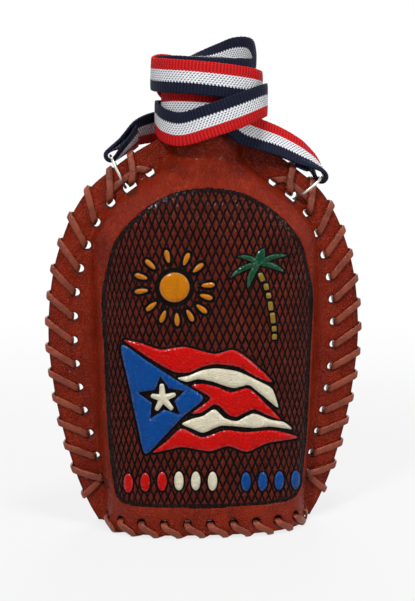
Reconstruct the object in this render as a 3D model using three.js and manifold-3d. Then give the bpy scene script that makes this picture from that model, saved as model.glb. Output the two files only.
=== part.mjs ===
// A flat pocket flask of glass in two moulded leather covers, laced round their edges, with a carrying strap
// wound round its neck. Millimetres, +Z up, the front faces -Y and the base rests at z = 0.
import * as THREE from "three";
import { mergeVertices } from "three/addons/utils/BufferGeometryUtils.js";
import Module from "manifold-3d";

const wasm = await Module();
wasm.setup();

const { cos, sin, max, min, abs, sign, PI, ceil, round } = Math;
const degrees = PI / 180;
const point = (x, y, z) => new THREE.Vector3(x, y, z);
const up = point(0, 0, 1);
const back = point(0, 1, 0);
const sides = { left: -1, right: 1 };

// Glass
const bottleWidth = 86;
const bottleDepth = 41;
const baseWidth = 79;
const glassWall = 2.3;
const heelRadius = 10;
const baseFlareHeight = 12;
const shoulderStart = 112;
const shoulderHeight = 39;
const neckRadius = 11.8;
const neckBore = 9.5;
const finishRootRadius = 12.45;
const beadRadius = 14;
const beadHeight = 2.4;
const bodySquareness = 2.8;
const roundSquareness = 2;

// Thread and cap
const threadRadius = 13.7;
const threadPitch = 4.23;
const threadTurns = 1.5;
const threadRootWidth = 1.9;
const threadCrestWidth = 1.0;
const threadSink = 0.15;
const threadClearance = 0.3;
const threadOverlap = 0.75;
const threadInset = 2.3;
const capRadius = 15.2;
const capHeight = 18;
const capTopThickness = 1.5;
const capEdge = 1.0;
const linerThickness = 1.0;
const linerRadius = 12.9;
const capBottom = 172.2;

// Leather
const leather = 2.0;
const coverClearance = 0.6;
const seamGap = 0.3;
const fitGap = 0.3;
const flaskWidth = 127.8;
const leatherTop = 160.3;
const rimLift = 1.3;
const rootFillet = 2.2;
const leastFlange = 0.5;
const baseFlatInset = 10.5;
const baseRiseInset = 7.6;
const baseBedInset = 8.4;
const baseShelfInset = 5;

// Lacing
const laceWidth = 2.2;
const laceThickness = 0.8;
const holeRadius = 1.8;
const ringHoleRadius = 2.8;
const holeInset = 10;
const lowestHole = 19.2;
const highestHoleX = { left: 22.5, right: 28 };
const sideHoles = 15;
const ringIndex = sideHoles - 2;
const laceRise = 0.78;
const doubledDrop = -0.35;
const laceSetOut = 0.5;
const laceStack = 1.4;
const doubledOuter = 1.2;
const doubledInner = -0.35;
const lastOut = 1;
const doubledHoleRadius = 2.4;
const doubledLift = 0.2;
const tailInset = 6.2;
const baseHoleHeight = 6;
const baseHolePitch = 9.3;
const baseHoleShift = 0.8;
const baseHoles = 11;
const baseHoleInset = 3.2;
const baseHoleRadius = 1.6;
const baseLaceAdvance = 0.62;
const holeDrillLength = 12;

// Strap and rings
const strapWidth = 12.7;
const strapThickness = 1.2;
const gatheredWidth = 4.4;
const ringRadius = 7;
const ringWire = 1.2;
const ringLean = { left: 13 * degrees, right: -13 * degrees };
const ringDrop = 1.7;
const ringSetOut = 0.6;
const ringLaceShift = 1.2;
const loopRadius = 2;
const windingCentre = 1.4;
const windingHalfWidth = 18.2;
const windingHalfDepth = 16.5;
const layerPitch = 1.75;
const strapStep = 5;
const strapTail = [2.9, 1.95];

// Faceting
const sectionSteps = 7;
const bottleSides = 24;
const capSides = 32;
const baseSides = 36;
const drillSides = 6;
const threadSteps = 16;

// Heights and half widths as shares of what they follow, chosen by hand
const edgeShares = [
  [0, 0.7], [0.04, 0.755], [0.118, 0.834], [0.258, 0.928], [0.385, 0.981], [0.505, 1],
  [0.655, 0.962], [0.775, 0.868], [0.843, 0.775], [0.882, 0.689], [0.922, 0.563], [0.95, 0.469],
  [0.973, 0.376], [1, 0.25],
];
const shoulderShares = [[0, 1], [0.25, 0.965], [0.5, 0.76], [0.67, 0.525], [0.83, 0.245], [1, 0]];
const shoulderDepthShares = [[0, 1], [0.35, 0.97], [0.6, 0.8], [0.83, 0.36], [1, 0]];
const coverRowShares = [
  0, 0.07, 0.16, 0.3, 0.46, 0.6, 0.7, 0.765, 0.815, 0.855, 0.89, 0.92, 0.95, 0.975, 1,
];

// A smooth curve through a table of pairs, read at x
function smooth(table, x) {
  const last = table.length - 1;
  const clamped = min(max(x, table[0][0]), table[last][0]);
  let k = 0;
  while (k < last - 1 && clamped > table[k + 1][0]) k++;
  const slope = (i) => {
    const [a, b] = [table[max(i - 1, 0)], table[min(i + 1, last)]];
    return (b[1] - a[1]) / (b[0] - a[0]);
  };
  const [[x0, y0], [x1, y1]] = [table[k], table[k + 1]];
  const span = x1 - x0;
  const t = (clamped - x0) / span;
  const [t2, t3] = [t * t, t * t * t];
  const start = y0 * (2 * t3 - 3 * t2 + 1) + y1 * (3 * t2 - 2 * t3);
  return start + span * (slope(k) * (t3 - 2 * t2 + t) + slope(k + 1) * (t3 - t2));
}

// A closed surface from rings with as many points each, capped at both ends
function solidFromRings(rings) {
  const count = rings[0].length;
  const positions = rings.flat().flatMap((p) => [p.x, p.y, p.z]);
  const triangles = [];
  for (let r = 0; r + 1 < rings.length; r++) {
    for (let k = 0; k < count; k++) {
      const [a, b] = [r * count + k, r * count + ((k + 1) % count)];
      triangles.push(a, b, b + count, a, b + count, a + count);
    }
  }
  const cap = (r, turned) => {
    const faces = THREE.ShapeUtils.triangulateShape(flattened(rings[r]), []);
    for (const [a, b, c] of faces) {
      const [p, q, s] = [a, b, c].map((i) => r * count + i);
      triangles.push(...(turned ? [p, s, q] : [p, q, s]));
    }
  };
  cap(0, true);
  cap(rings.length - 1, false);
  return closedGeometry(positions, triangles);
}

// A ring's points in its own plane, counterclockwise
function flattened(ring) {
  const normal = point(0, 0, 0);
  ring.forEach((p, i) => normal.add(p.clone().cross(ring[(i + 1) % ring.length])));
  const across = ring[1].clone().sub(ring[0]).normalize();
  const along = normal.normalize().clone().cross(across);
  return ring.map((p) => new THREE.Vector2(p.dot(across), p.dot(along)));
}

// An indexed geometry whose faces point out
function closedGeometry(positions, triangles) {
  const geometry = new THREE.BufferGeometry();
  geometry.setAttribute("position", new THREE.Float32BufferAttribute(positions, 3));
  geometry.setIndex(triangles);
  if (signedVolume(geometry) < 0) {
    for (let i = 0; i < triangles.length; i += 3) {
      [triangles[i + 1], triangles[i + 2]] = [triangles[i + 2], triangles[i + 1]];
    }
    geometry.setIndex(triangles);
  }
  return geometry;
}

function signedVolume(geometry) {
  const corner = geometry.getAttribute("position");
  const index = geometry.getIndex().array;
  const at = (i) => new THREE.Vector3().fromBufferAttribute(corner, index[i]);
  let sum = 0;
  for (let i = 0; i < index.length; i += 3) sum += at(i).dot(at(i + 1).cross(at(i + 2)));
  return sum;
}

// The geometry as a solid that can be cut and joined
function solid(geometry) {
  const bare = geometry.clone();
  bare.deleteAttribute("normal");
  bare.deleteAttribute("uv");
  const merged = mergeVertices(bare);
  return new wasm.Manifold(
    new wasm.Mesh({
      numProp: 3,
      vertProperties: merged.getAttribute("position").array,
      triVerts: new Uint32Array(merged.getIndex().array),
    }),
  );
}

function geometryOf(made) {
  const mesh = made.getMesh();
  const geometry = new THREE.BufferGeometry();
  const positions = [];
  for (let i = 0; i < mesh.vertProperties.length; i += mesh.numProp) {
    positions.push(...mesh.vertProperties.slice(i, i + 3));
  }
  geometry.setAttribute("position", new THREE.Float32BufferAttribute(positions, 3));
  geometry.setIndex([...mesh.triVerts]);
  return geometry;
}

// Half width, half depth and squareness of the glass at a height, before its heel is rounded
function bottleSection(z) {
  const flare = min(max((z - baseFlareHeight) / (shoulderStart - baseFlareHeight), 0), 1);
  const body = (baseWidth + (bottleWidth - baseWidth) * (2 - flare) * flare) / 2;
  const rise = min(max((z - shoulderStart) / shoulderHeight, 0), 1);
  const widthLeft = smooth(shoulderShares, rise);
  const depthLeft = smooth(shoulderDepthShares, rise);
  return {
    a: neckRadius + (body - neckRadius) * widthLeft,
    b: neckRadius + (bottleDepth / 2 - neckRadius) * depthLeft,
    n: roundSquareness + (bodySquareness - roundSquareness) * depthLeft,
  };
}

// A point of the superellipse at an angle from +X
function onSection({ a, b, n }, angle, grow) {
  const [c, s] = [cos(angle), sin(angle)];
  const bend = (value) => sign(value) * abs(value) ** (2 / n);
  return [(a + grow) * bend(c), (b + grow) * bend(s)];
}

function sectionRing(section, grow, z, count) {
  return Array.from({ length: count }, (_, k) => {
    const [x, y] = onSection(section, (2 * PI * k) / count, grow);
    return point(x, y, z);
  });
}

// Bottle
const bottleFloor = leather + fitGap;
const capTop = capBottom + capHeight;
const linerTop = capTop - capTopThickness - threadClearance;
const lipHeight = linerTop - linerThickness - fitGap;
const beadTop = capBottom - threadClearance * 2;
const threadStart = capBottom + threadInset;

// A helical ridge: its root radius, its crest radius and the height of its middle at the start
function thread(root, crest, start) {
  const steps = round(threadTurns * threadSteps);
  const rings = Array.from({ length: steps + 1 }, (_, k) => {
    const turn = (k / steps) * threadTurns;
    const middle = start + turn * threadPitch;
    const corner = (radius, dz) => {
      return point(radius * cos(2 * PI * turn), radius * sin(2 * PI * turn), middle + dz);
    };
    return [
      corner(root, -threadRootWidth / 2), corner(crest, -threadCrestWidth / 2),
      corner(crest, threadCrestWidth / 2), corner(root, threadRootWidth / 2),
    ];
  });
  return solidFromRings(rings);
}

function glassBottle() {
  const heelSteps = [0, 30, 58, 90];
  const rings = [];
  for (const angle of heelSteps) {
    const inset = heelRadius * (1 - sin(angle * degrees));
    const z = bottleFloor + heelRadius * (1 - cos(angle * degrees));
    rings.push(sectionRing(bottleSection(z), -inset, z, bottleSides));
  }
  const bodyHeights = [45, 78, shoulderStart];
  const shoulderHeights = [0.24, 0.42, 0.58, 0.72, 0.85, 1].map((share) => {
    return shoulderStart + share * shoulderHeight;
  });
  for (const z of [...bodyHeights, ...shoulderHeights]) {
    rings.push(sectionRing(bottleSection(z), 0, z, bottleSides));
  }
  const neck = { a: neckRadius, b: neckRadius, n: roundSquareness };
  const turned = (radius, z) => rings.push(sectionRing(neck, radius - neckRadius, z, bottleSides));
  turned(neckRadius, beadTop - beadHeight);
  turned(beadRadius, beadTop - beadHeight);
  turned(beadRadius, beadTop);
  turned(finishRootRadius, beadTop);
  turned(finishRootRadius, lipHeight);
  turned(neckBore, lipHeight);
  turned(neckBore, shoulderStart + shoulderHeight);
  for (const z of [...bodyHeights, ...shoulderHeights.slice(0, -1)].reverse()) {
    rings.push(sectionRing(bottleSection(z), -glassWall, z, bottleSides));
  }
  for (const angle of [...heelSteps].reverse()) {
    const inner = heelRadius - glassWall;
    const inset = inner * (1 - sin(angle * degrees)) + glassWall;
    const z = bottleFloor + glassWall + inner * (1 - cos(angle * degrees));
    rings.push(sectionRing(bottleSection(z), -inset, z, bottleSides));
  }
  const ridge = thread(finishRootRadius - threadSink, threadRadius, threadStart);
  return geometryOf(solid(solidFromRings(rings)).add(solid(ridge)));
}

// Cap and liner
const capBore = threadRadius + threadClearance;

function screwCap() {
  const underTop = capTop - capTopThickness;
  const profile = [
    [0, underTop], [capBore, underTop], [capBore, capBottom], [capRadius, capBottom],
    [capRadius, capTop - capEdge], [capRadius - capEdge, capTop], [0, capTop],
  ].map(([radius, z]) => new THREE.Vector2(radius, z));
  const shell = new THREE.LatheGeometry(profile, capSides).rotateX(PI / 2);
  const crest = capBore + threadSink - threadClearance - threadOverlap - threadSink;
  const ridge = thread(capBore + threadSink, crest, threadStart + threadPitch / 2);
  return geometryOf(solid(outward(shell)).add(solid(ridge)));
}

// The same geometry, merged and turned so that its faces point out
function outward(geometry) {
  const bare = geometry.clone();
  bare.deleteAttribute("normal");
  bare.deleteAttribute("uv");
  const merged = mergeVertices(bare);
  return closedGeometry([...merged.getAttribute("position").array], [...merged.getIndex().array]);
}

function capLiner() {
  const disc = new THREE.CylinderGeometry(linerRadius, linerRadius, linerThickness, capSides);
  return disc.rotateX(PI / 2).translate(0, 0, linerTop - linerThickness / 2);
}

// Outer edge of the flanges: half width at a height
const flangeEdge = (z) => {
  const share = (z - rimLift) / (leatherTop - rimLift);
  return (flaskWidth / 2) * smooth(edgeShares, share);
};

// The seam line that the side holes lie on, from the rim up, with the way out to the edge at each place
const seamLine = (() => {
  const samples = [];
  const step = 0.4;
  for (let z = rimLift + step; z < leatherTop - step; z += step) {
    const slope = (flangeEdge(z + step) - flangeEdge(z - step)) / (2 * step);
    const out = point(1, 0, -slope).normalize();
    const edge = point(flangeEdge(z), 0, z);
    const hole = edge.clone().addScaledVector(out, -holeInset);
    const last = samples[samples.length - 1];
    samples.push({ s: last ? last.s + hole.distanceTo(last.hole) : 0, hole, out });
  }
  return samples;
})();

// The place at a length along the seam line, for one side of the flask
function seamAt(s, side) {
  let k = 0;
  while (k < seamLine.length - 2 && seamLine[k + 1].s < s) k++;
  const [a, b] = [seamLine[k], seamLine[k + 1]];
  const t = (s - a.s) / (b.s - a.s);
  const mirror = point(sides[side], 1, 1);
  const hole = a.hole.clone().lerp(b.hole, t).multiply(mirror);
  const out = a.out.clone().lerp(b.out, t).normalize().multiply(mirror);
  const along = point(-out.z * sides[side], 0, out.x * sides[side]);
  return { hole, out, along };
}

const seamStart = seamLine.find(({ hole }) => hole.z >= lowestHole).s;
const seamWhereX = (x) => seamLine.find(({ hole }) => hole.x <= x && hole.z > shoulderStart).s;

// Lengths along the seam line of one side's holes
function holeLengths(side) {
  const end = seamWhereX(highestHoleX[side]);
  return Array.from({ length: sideHoles }, (_, i) => {
    return seamStart + ((end - seamStart) * i) / (sideHoles - 1);
  });
}

// Half a cover's section from the middle out to the flange's edge, on the outer or the inner face
function coverSection(z, face) {
  const section = bottleSection(z);
  const outerGrow = coverClearance + leather;
  const rootY = seamGap / 2 + leather + rootFillet;
  const rootAngle = Math.asin((rootY / (section.b + outerGrow)) ** (section.n / 2));
  const rootX = onSection(section, rootAngle, outerGrow)[0];
  const points = [];
  for (let k = 0; k < sectionSteps; k++) {
    const angle = PI / 2 + (rootAngle - PI / 2) * (k / sectionSteps);
    points.push(onSection(section, angle, face === "outer" ? outerGrow : coverClearance));
  }
  const radius = face === "outer" ? rootFillet : rootFillet + leather;
  for (const turn of [0, 30, 60, 90]) {
    const x = rootX + rootFillet - radius * cos(turn * degrees);
    points.push([x, rootY - radius * sin(turn * degrees)]);
  }
  const edge = max(flangeEdge(z), rootX + rootFillet + leastFlange);
  points.push([edge, rootY - radius]);
  return points;
}

// A leather cover: facing is -1 at the front and 1 at the back
function cover(facing) {
  const rings = coverRowShares.map((share) => {
    const z = rimLift + share * (leatherTop - rimLift);
    const across = (face) => {
      const half = coverSection(z, face);
      const left = half.slice(1).reverse().map(([x, y]) => point(-x, y * facing, z));
      return [...left, ...half.map(([x, y]) => point(x, y * facing, z))];
    };
    return [...across("outer"), ...across("inner").reverse()];
  });
  let made = solid(solidFromRings(rings));
  for (const drill of [...sideDrills(), ...baseWallDrills(facing)]) made = made.subtract(solid(drill));
  return geometryOf(made);
}

// A cylinder whose flats lie at the radius, about a place and along a direction
function drill(radius, length, place, direction) {
  const corner = radius / cos(PI / drillSides);
  const shape = new THREE.CylinderGeometry(corner, corner, length, drillSides);
  shape.applyQuaternion(new THREE.Quaternion().setFromUnitVectors(back, direction));
  return outward(shape.translate(...place.toArray()));
}

function sideDrills() {
  return Object.keys(sides).flatMap((side) => {
    const lengths = holeLengths(side);
    const radii = lengths.map(() => holeRadius);
    radii[0] = doubledHoleRadius;
    radii[ringIndex] = ringHoleRadius;
    return lengths.map((s, i) => drill(radii[i], holeDrillLength, seamAt(s, side).hole, back));
  });
}

// The moulded wall's outer line at the base holes' height, by length from the middle
const wallLine = (() => {
  const fine = 60;
  const section = bottleSection(baseHoleHeight);
  const samples = [];
  for (let k = 0; k <= fine; k++) {
    const angle = PI / 2 - (k / fine) * (PI / 2);
    const [x, y] = onSection(section, angle, coverClearance + leather);
    const last = samples[samples.length - 1];
    samples.push({ s: last ? last.s + Math.hypot(x - last.x, y - last.y) : 0, x, y });
  }
  return samples;
})();

// The place and the outward way on that line at a length, front or back
function wallAt(s, facing) {
  const length = abs(s);
  let k = 0;
  while (k < wallLine.length - 2 && wallLine[k + 1].s < length) k++;
  const [a, b] = [wallLine[k], wallLine[k + 1]];
  const t = (length - a.s) / (b.s - a.s);
  const side = s < 0 ? -1 : 1;
  const place = point((a.x + (b.x - a.x) * t) * side, (a.y + (b.y - a.y) * t) * facing, 0);
  const before = wallLine[max(k - 2, 0)];
  const after = wallLine[min(k + 3, wallLine.length - 1)];
  const out = point(-(after.y - before.y) * side, (after.x - before.x) * facing, 0).normalize();
  return { place, out };
}

const baseHoleLength = (i) => baseHoleShift + (i - (baseHoles - 1) / 2) * baseHolePitch;

function baseWallDrills(facing) {
  return Array.from({ length: baseHoles }, (_, i) => {
    const { place, out } = wallAt(baseHoleLength(i), facing);
    const centre = place.clone().addScaledVector(out, -leather / 2).setZ(baseHoleHeight);
    return drill(holeRadius, leather * 4, centre, out);
  });
}

// How far inside the wall's outer face the base's holes lie
const baseHoleDepth = leather + fitGap + baseHoleInset;

function baseCover() {
  const section = bottleSection(rimLift);
  const rim = coverClearance - fitGap;
  const ring = (inset, z) => sectionRing(section, rim - inset, z, baseSides);
  const outside = [ring(baseFlatInset, 0), ring(baseRiseInset, rimLift), ring(0, rimLift)];
  const shelf = rimLift + leather;
  const inside = [ring(0, shelf), ring(baseShelfInset, shelf), ring(baseBedInset, leather)];
  let made = solid(solidFromRings([...outside, ...inside]));
  for (const facing of [-1, 1]) {
    for (let i = 0; i < baseHoles; i++) {
      const { place, out } = wallAt(baseHoleLength(i), facing);
      const centre = place.clone().addScaledVector(out, -baseHoleDepth).setZ(rimLift + leather / 2);
      made = made.subtract(solid(drill(baseHoleRadius, leather * 2, centre, up)));
    }
  }
  return geometryOf(made);
}

// A flat band along its stations, each with a centre, a face normal and a half width
function bandFrames(stations) {
  return stations.map((station, i) => {
    const before = stations[max(i - 1, 0)].at;
    const after = stations[min(i + 1, stations.length - 1)].at;
    const along = after.clone().sub(before).normalize();
    const across = station.normal
      ? along.clone().cross(station.normal).normalize()
      : station.across.clone().addScaledVector(along, -station.across.dot(along)).normalize();
    const normal = across.clone().cross(along);
    return { at: station.at, across, normal, half: station.half };
  });
}

function band(stations, thickness) {
  const rings = bandFrames(stations).map(({ at, across, normal, half }) => {
    const corner = (w, n) => {
      return at.clone().addScaledVector(across, w * half).addScaledVector(normal, (n * thickness) / 2);
    };
    return [corner(-1, -1), corner(1, -1), corner(1, 1), corner(-1, 1)];
  });
  return solidFromRings(rings);
}

// The least gap between the parts of a band that are more than reach apart along it, on points of its middle face
function leastGap(stations, thickness, spacing, reach) {
  const frames = bandFrames(stations);
  const points = [];
  let length = 0;
  for (let i = 0; i + 1 < frames.length; i++) {
    const [a, b] = [frames[i], frames[i + 1]];
    const span = a.at.distanceTo(b.at);
    const steps = max(1, ceil(span / spacing));
    for (let k = 0; k < steps; k++) {
      const t = k / steps;
      const at = a.at.clone().lerp(b.at, t);
      const across = a.across.clone().lerp(b.across, t);
      const half = a.half + (b.half - a.half) * t;
      const columns = ceil((2 * half) / spacing);
      for (let c = 0; c <= columns; c++) {
        const offset = half * ((2 * c) / columns - 1);
        points.push({ s: length + span * t, at: at.clone().addScaledVector(across, offset) });
      }
    }
    length += span;
  }
  let least = { distance: Infinity };
  for (let i = 0; i < points.length; i++) {
    for (let j = i + 1; j < points.length; j++) {
      if (points[j].s - points[i].s < reach) continue;
      const distance = points[i].at.distanceTo(points[j].at);
      if (distance < least.distance) least = { distance, from: points[i], to: points[j] };
    }
  }
  return { gap: least.distance - thickness, length, ...least };
}

// Side lacing: each wrap leaves its hole at the front, goes out over the edge and comes back to the next hole
const faceLift = seamGap / 2 + leather + fitGap + laceThickness / 2;
const stackedLift = faceLift + laceStack;
const lipLift = seamGap / 2 + leather + 0.15;
const edgeSetOut = fitGap + laceThickness / 2 + 0.25;
const lipOut = 0.8;
const plainWrap = {
  rise: laceRise, startOut: laceSetOut, endOut: laceSetOut, shift: 0, endShift: 0, lifted: false,
};

// A place by length along the seam, by distance out from the hole line and by height off the middle plane
function seamPlace(side, s, out, y) {
  const frame = seamAt(s, side);
  return frame.hole.clone().addScaledVector(frame.out, out).setY(y);
}

function sideLace(side) {
  const lengths = holeLengths(side);
  const pitch = lengths[1] - lengths[0];
  const half = laceWidth / 2;
  const stations = [];
  const put = (s, out, y, normalOut, normalY) => {
    const frame = seamAt(s, side);
    const normal = frame.out.clone().multiplyScalar(normalOut).addScaledVector(back, normalY);
    stations.push({ at: seamPlace(side, s, out, y), normal: normal.normalize(), half });
  };
  const wrap = (from, to, options) => {
    const { rise, startOut, endOut, shift, endShift, lifted } = { ...plainWrap, ...options };
    const start = from + shift;
    const reach = min(rise * pitch, seamLine[seamLine.length - 1].s - from - half);
    const lift = lifted ? stackedLift : faceLift;
    put(start, startOut, -lipLift, -1, lifted ? 0 : -1);
    put(start + reach * 0.1, startOut + lipOut, -lift, 0, -1);
    if (lifted) put(start + reach * 0.5, holeInset * 0.52, -stackedLift, 0, -1);
    put(from + reach * 0.95, holeInset + fitGap, -faceLift, 0, -1);
    put(from + reach, holeInset + edgeSetOut, -leather, 1, -0.3);
    put(from + reach, holeInset + edgeSetOut, leather, 1, 0.3);
    put(from + reach + (to - from - reach) * 0.05, holeInset + fitGap, faceLift, 0, 1);
    put(to + endShift, endOut + lipOut, faceLift + (endOut === doubledInner ? doubledLift : 0), 0, 1);
    put(to + endShift, endOut, lipLift, -1, 1);
  };
  put(lengths[0], doubledOuter, leather / 2, -1, 0);
  wrap(lengths[0], lengths[0], { rise: doubledDrop, startOut: doubledOuter, endOut: doubledInner });
  for (let i = 0; i + 1 < sideHoles; i++) {
    wrap(lengths[i], lengths[i + 1], {
      startOut: i === 0 ? doubledInner : laceSetOut,
      endOut: i === sideHoles - 2 ? lastOut : laceSetOut,
      lifted: i === 0 || i > sideHoles - 5,
      shift: i === ringIndex ? ringLaceShift : 0,
      endShift: i + 1 === ringIndex ? ringLaceShift : 0,
    });
  }
  const last = lengths[sideHoles - 1];
  put(last, lastOut, -lipLift, -1, -1);
  put(last - pitch * 0.1, lastOut + lipOut, -faceLift, 0, -1);
  const tailStart = last - pitch * 0.32;
  const tailEnd = lengths[sideHoles - 4] - pitch * 0.3;
  const tailSteps = 6;
  for (let k = 0; k <= tailSteps; k++) {
    put(tailStart + ((tailEnd - tailStart) * k) / tailSteps, holeInset - tailInset, -faceLift, 0, -1);
  }
  return stations;
}

// Base lacing: each wrap leaves its wall hole, slants down under the edge and comes up through the base
function baseLace(facing) {
  const half = laceWidth / 2;
  const stations = [];
  const under = rimLift - fitGap - laceThickness / 2;
  const outside = fitGap + laceThickness / 2 + 0.05;
  const put = (s, out, z, normalOut, normalUp) => {
    const frame = wallAt(s, facing);
    const at = frame.place.clone().addScaledVector(frame.out, out).setZ(z);
    const normal = frame.out.clone().multiplyScalar(normalOut).addScaledVector(up, normalUp);
    stations.push({ at, normal: normal.normalize(), half });
  };
  const comeUp = (s) => {
    put(s, -baseHoleDepth + 0.2, rimLift - 0.1, -1, -1);
    put(s, -baseHoleDepth + 0.4, rimLift + leather + 0.1, -1, 0.3);
    put(s, -leather - 1.4, baseHoleHeight - 1, -1, 1);
    put(s, -leather - 0.3, baseHoleHeight - 0.2, -0.3, 1);
  };
  comeUp(baseHoleLength(0));
  for (let i = 0; i < baseHoles; i++) {
    const s = baseHoleLength(i);
    put(s, 0.2, baseHoleHeight - 0.4, 1, 1);
    put(s + baseHolePitch * 0.06, outside + 0.1, baseHoleHeight - 1.3, 1, 0);
    const isLast = i === baseHoles - 1;
    const advance = isLast ? baseLaceAdvance * 0.35 : baseLaceAdvance;
    put(s + baseHolePitch * advance, outside, rimLift + 0.2, 1, -0.2);
    put(s + baseHolePitch * (advance + 0.02), 0.5, rimLift - 0.55, 1, -1);
    put(s + baseHolePitch * (advance + 0.04), -0.5, under, 0.1, -1);
    if (isLast) {
      put(s + baseHolePitch * (advance + 0.06), -leather, under, 0, -1);
      break;
    }
    put(s + baseHolePitch * 0.95, -baseHoleDepth + 1.2, under, 0, -1);
    comeUp(s + baseHolePitch);
  }
  return stations;
}

// The ring's place: its centre, the way out to the strap, and its own axis along the seam
function ringFrame(side) {
  const lengths = holeLengths(side);
  const { hole, out, along } = seamAt(lengths[ringIndex], side);
  const lean = ringLean[side];
  const away = out.clone().multiplyScalar(cos(lean)).addScaledVector(along, sin(lean));
  const axis = along.clone().multiplyScalar(cos(lean)).addScaledVector(out, -sin(lean));
  const centre = hole.clone().addScaledVector(axis, -ringDrop);
  centre.addScaledVector(away, ringRadius + ringSetOut);
  return { centre, away, axis };
}

function jumpRing(side) {
  const { centre, away, axis } = ringFrame(side);
  const geometry = new THREE.TorusGeometry(ringRadius, ringWire / 2, 6, 24);
  const basis = new THREE.Matrix4().makeBasis(away, axis.clone().cross(away), axis);
  return { geometry, centre, turn: new THREE.Quaternion().setFromRotationMatrix(basis) };
}

// Strap: the route of its winding as [turn in degrees, layer, height over the leather in strap widths, roll in
// degrees]. The turn grows from the front over the left side. The roll of 180 puts the strap's other edge up.
const windingShares = [
  [-48, 0, 0.197, 0], [-30, 0, 0.441, 0], [-10, 0, 0.732, 0], [15, 0, 0.803, 0], [50, 0, 0.843, 0],
  [90, 0, 0.858, 0], [135, 0, 0.969, 0], [180, 0, 1.126, 0], [225, 0.2, 1.283, 0],
  [252, 1.3, 1.394, 0], [272, 1.8, 1.457, 0], [310, 2.2, 1.504, 0], [345, 2.2, 1.583, 0],
  [380, 2.2, 1.693, 0], [415, 2.2, 1.787, 0], [450, 2.3, 1.906, 0], [478, 3, 2.087, -12],
  [498, 3.6, 2.213, -45], [515, 3.9, 2.307, -90], [532, 3.2, 2.402, -130], [554, 1.9, 2.52, -165],
  [578, 1, 2.669, -180], [602, 0.5, 2.638, 180], [630, 0.1, 2.323, 180], [655, 0.6, 1.945, 180],
  [685, 1.1, 1.787, 180], [730, 1.1, 1.787, 180], [770, 1.1, 1.882, 180], [805, 1.1, 1.913, 180],
  [835, 1.2, 1.756, 180], [865, 1.2, 1.425, 180], [890, 1.2, 1.079, 180], [908, 1.3, 0.906, 180],
  [918, 2, 0.874, 180], [908, 2.8, 0.843, 180], [885, 2.6, 0.756, 180], [860, 2.4, 0.669, 180],
  [835, 2.3, 0.622, 180], [808, 1.2, 0.583, 180], [780, 1.3, 0.488, 180], [752, 2, 0.402, 180],
  [720, 3.2, 0.591, 180], [690, 3.5, 0.843, 180], [662, 3.4, 1.031, 180], [630, 2.9, 1.11, 180],
  [600, 2.9, 0.984, 180], [576, 3.7, 0.811, 180], [548, 4.3, 0.606, 180], [520, 4.4, 0.402, 180],
];

function windingPoint([turn, layer, height, roll]) {
  const angle = turn * degrees;
  const radial = point(-sin(angle), -cos(angle), 0);
  const grow = layer * layerPitch;
  const at = point(windingCentre - (windingHalfWidth + grow) * sin(angle),
    -(windingHalfDepth + grow) * cos(angle), leatherTop + height * strapWidth);
  const across = up.clone().multiplyScalar(cos(roll * degrees));
  return { at, across: across.addScaledVector(radial, sin(roll * degrees)), half: strapWidth / 2 };
}

// The ends of the strap as [along the ring's axis, out, back, direction across, half width] from the ring's wire
// to the winding, in strap widths
const endShares = {
  right: [[0.472, 0.134, -0.063, [0.1, 0.85, 0.5], 0.346], [1.024, -0.063, -0.189, [0.2, 0.65, 0.73], 0.5],
    [1.732, -0.409, -0.409, [0.25, 0.5, 0.83], 0.5]],
  left: [[0.472, 0.22, 0.055, [0, 0.9, -0.45], 0.362], [0.945, 0.331, 0.362, [0, 0.7, -0.7], 0.5],
    [1.575, 0.268, 0.992, [-0.15, 0.22, -0.95], 0.5]],
};

// The strap's end at a ring: the free run, the loop round the wire and the tail stitched back along it
function strapEnd(side) {
  const { centre, away, axis } = ringFrame(side);
  const wire = centre.clone().addScaledVector(away, ringRadius);
  const gathered = gatheredWidth / 2;
  const place = (alongAxis, out, y) => {
    return wire.clone().addScaledVector(axis, alongAxis).addScaledVector(away, out).addScaledVector(back, y);
  };
  const run = [{ at: place(0, loopRadius, 0), across: back.clone(), half: gathered }];
  for (const [alongAxis, out, y, across, half] of endShares[side]) {
    const at = place(alongAxis * strapWidth, out * strapWidth, y * strapWidth);
    run.push({ at, across: point(...across).normalize(), half: half * strapWidth });
  }
  const loop = [45, 90, 135, 180].map((turn) => {
    const [c, s] = [cos(turn * degrees), sin(turn * degrees)];
    return { at: place(-s * loopRadius, c * loopRadius, 0), across: back.clone(), half: gathered };
  });
  const frames = bandFrames(run);
  const inward = sign(frames[0].normal.dot(away));
  const tail = frames.slice(1, 3).map(({ at, across, normal, half }, i) => {
    const apart = strapTail[i] * inward;
    return { at: at.clone().addScaledVector(normal, -apart), across, half };
  });
  return [...run.reverse(), ...loop, ...tail];
}

// The strap's stations along a smooth curve through its route
function strapStations() {
  const route = [...strapEnd("right").reverse(), ...windingShares.map(windingPoint), ...strapEnd("left")];
  const curve = new THREE.CatmullRomCurve3(route.map(({ at }) => at), false, "centripetal");
  const stations = [];
  for (let i = 0; i + 1 < route.length; i++) {
    const [a, b] = [route[i], route[i + 1]];
    const steps = max(1, round(a.at.distanceTo(b.at) / strapStep));
    for (let k = 0; k < steps; k++) {
      const t = k / steps;
      stations.push({
        at: curve.getPoint((i + t) / (route.length - 1)),
        across: a.across.clone().lerp(b.across, t),
        half: a.half + (b.half - a.half) * t,
      });
    }
  }
  stations.push(route[route.length - 1]);
  return stations;
}

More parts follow.
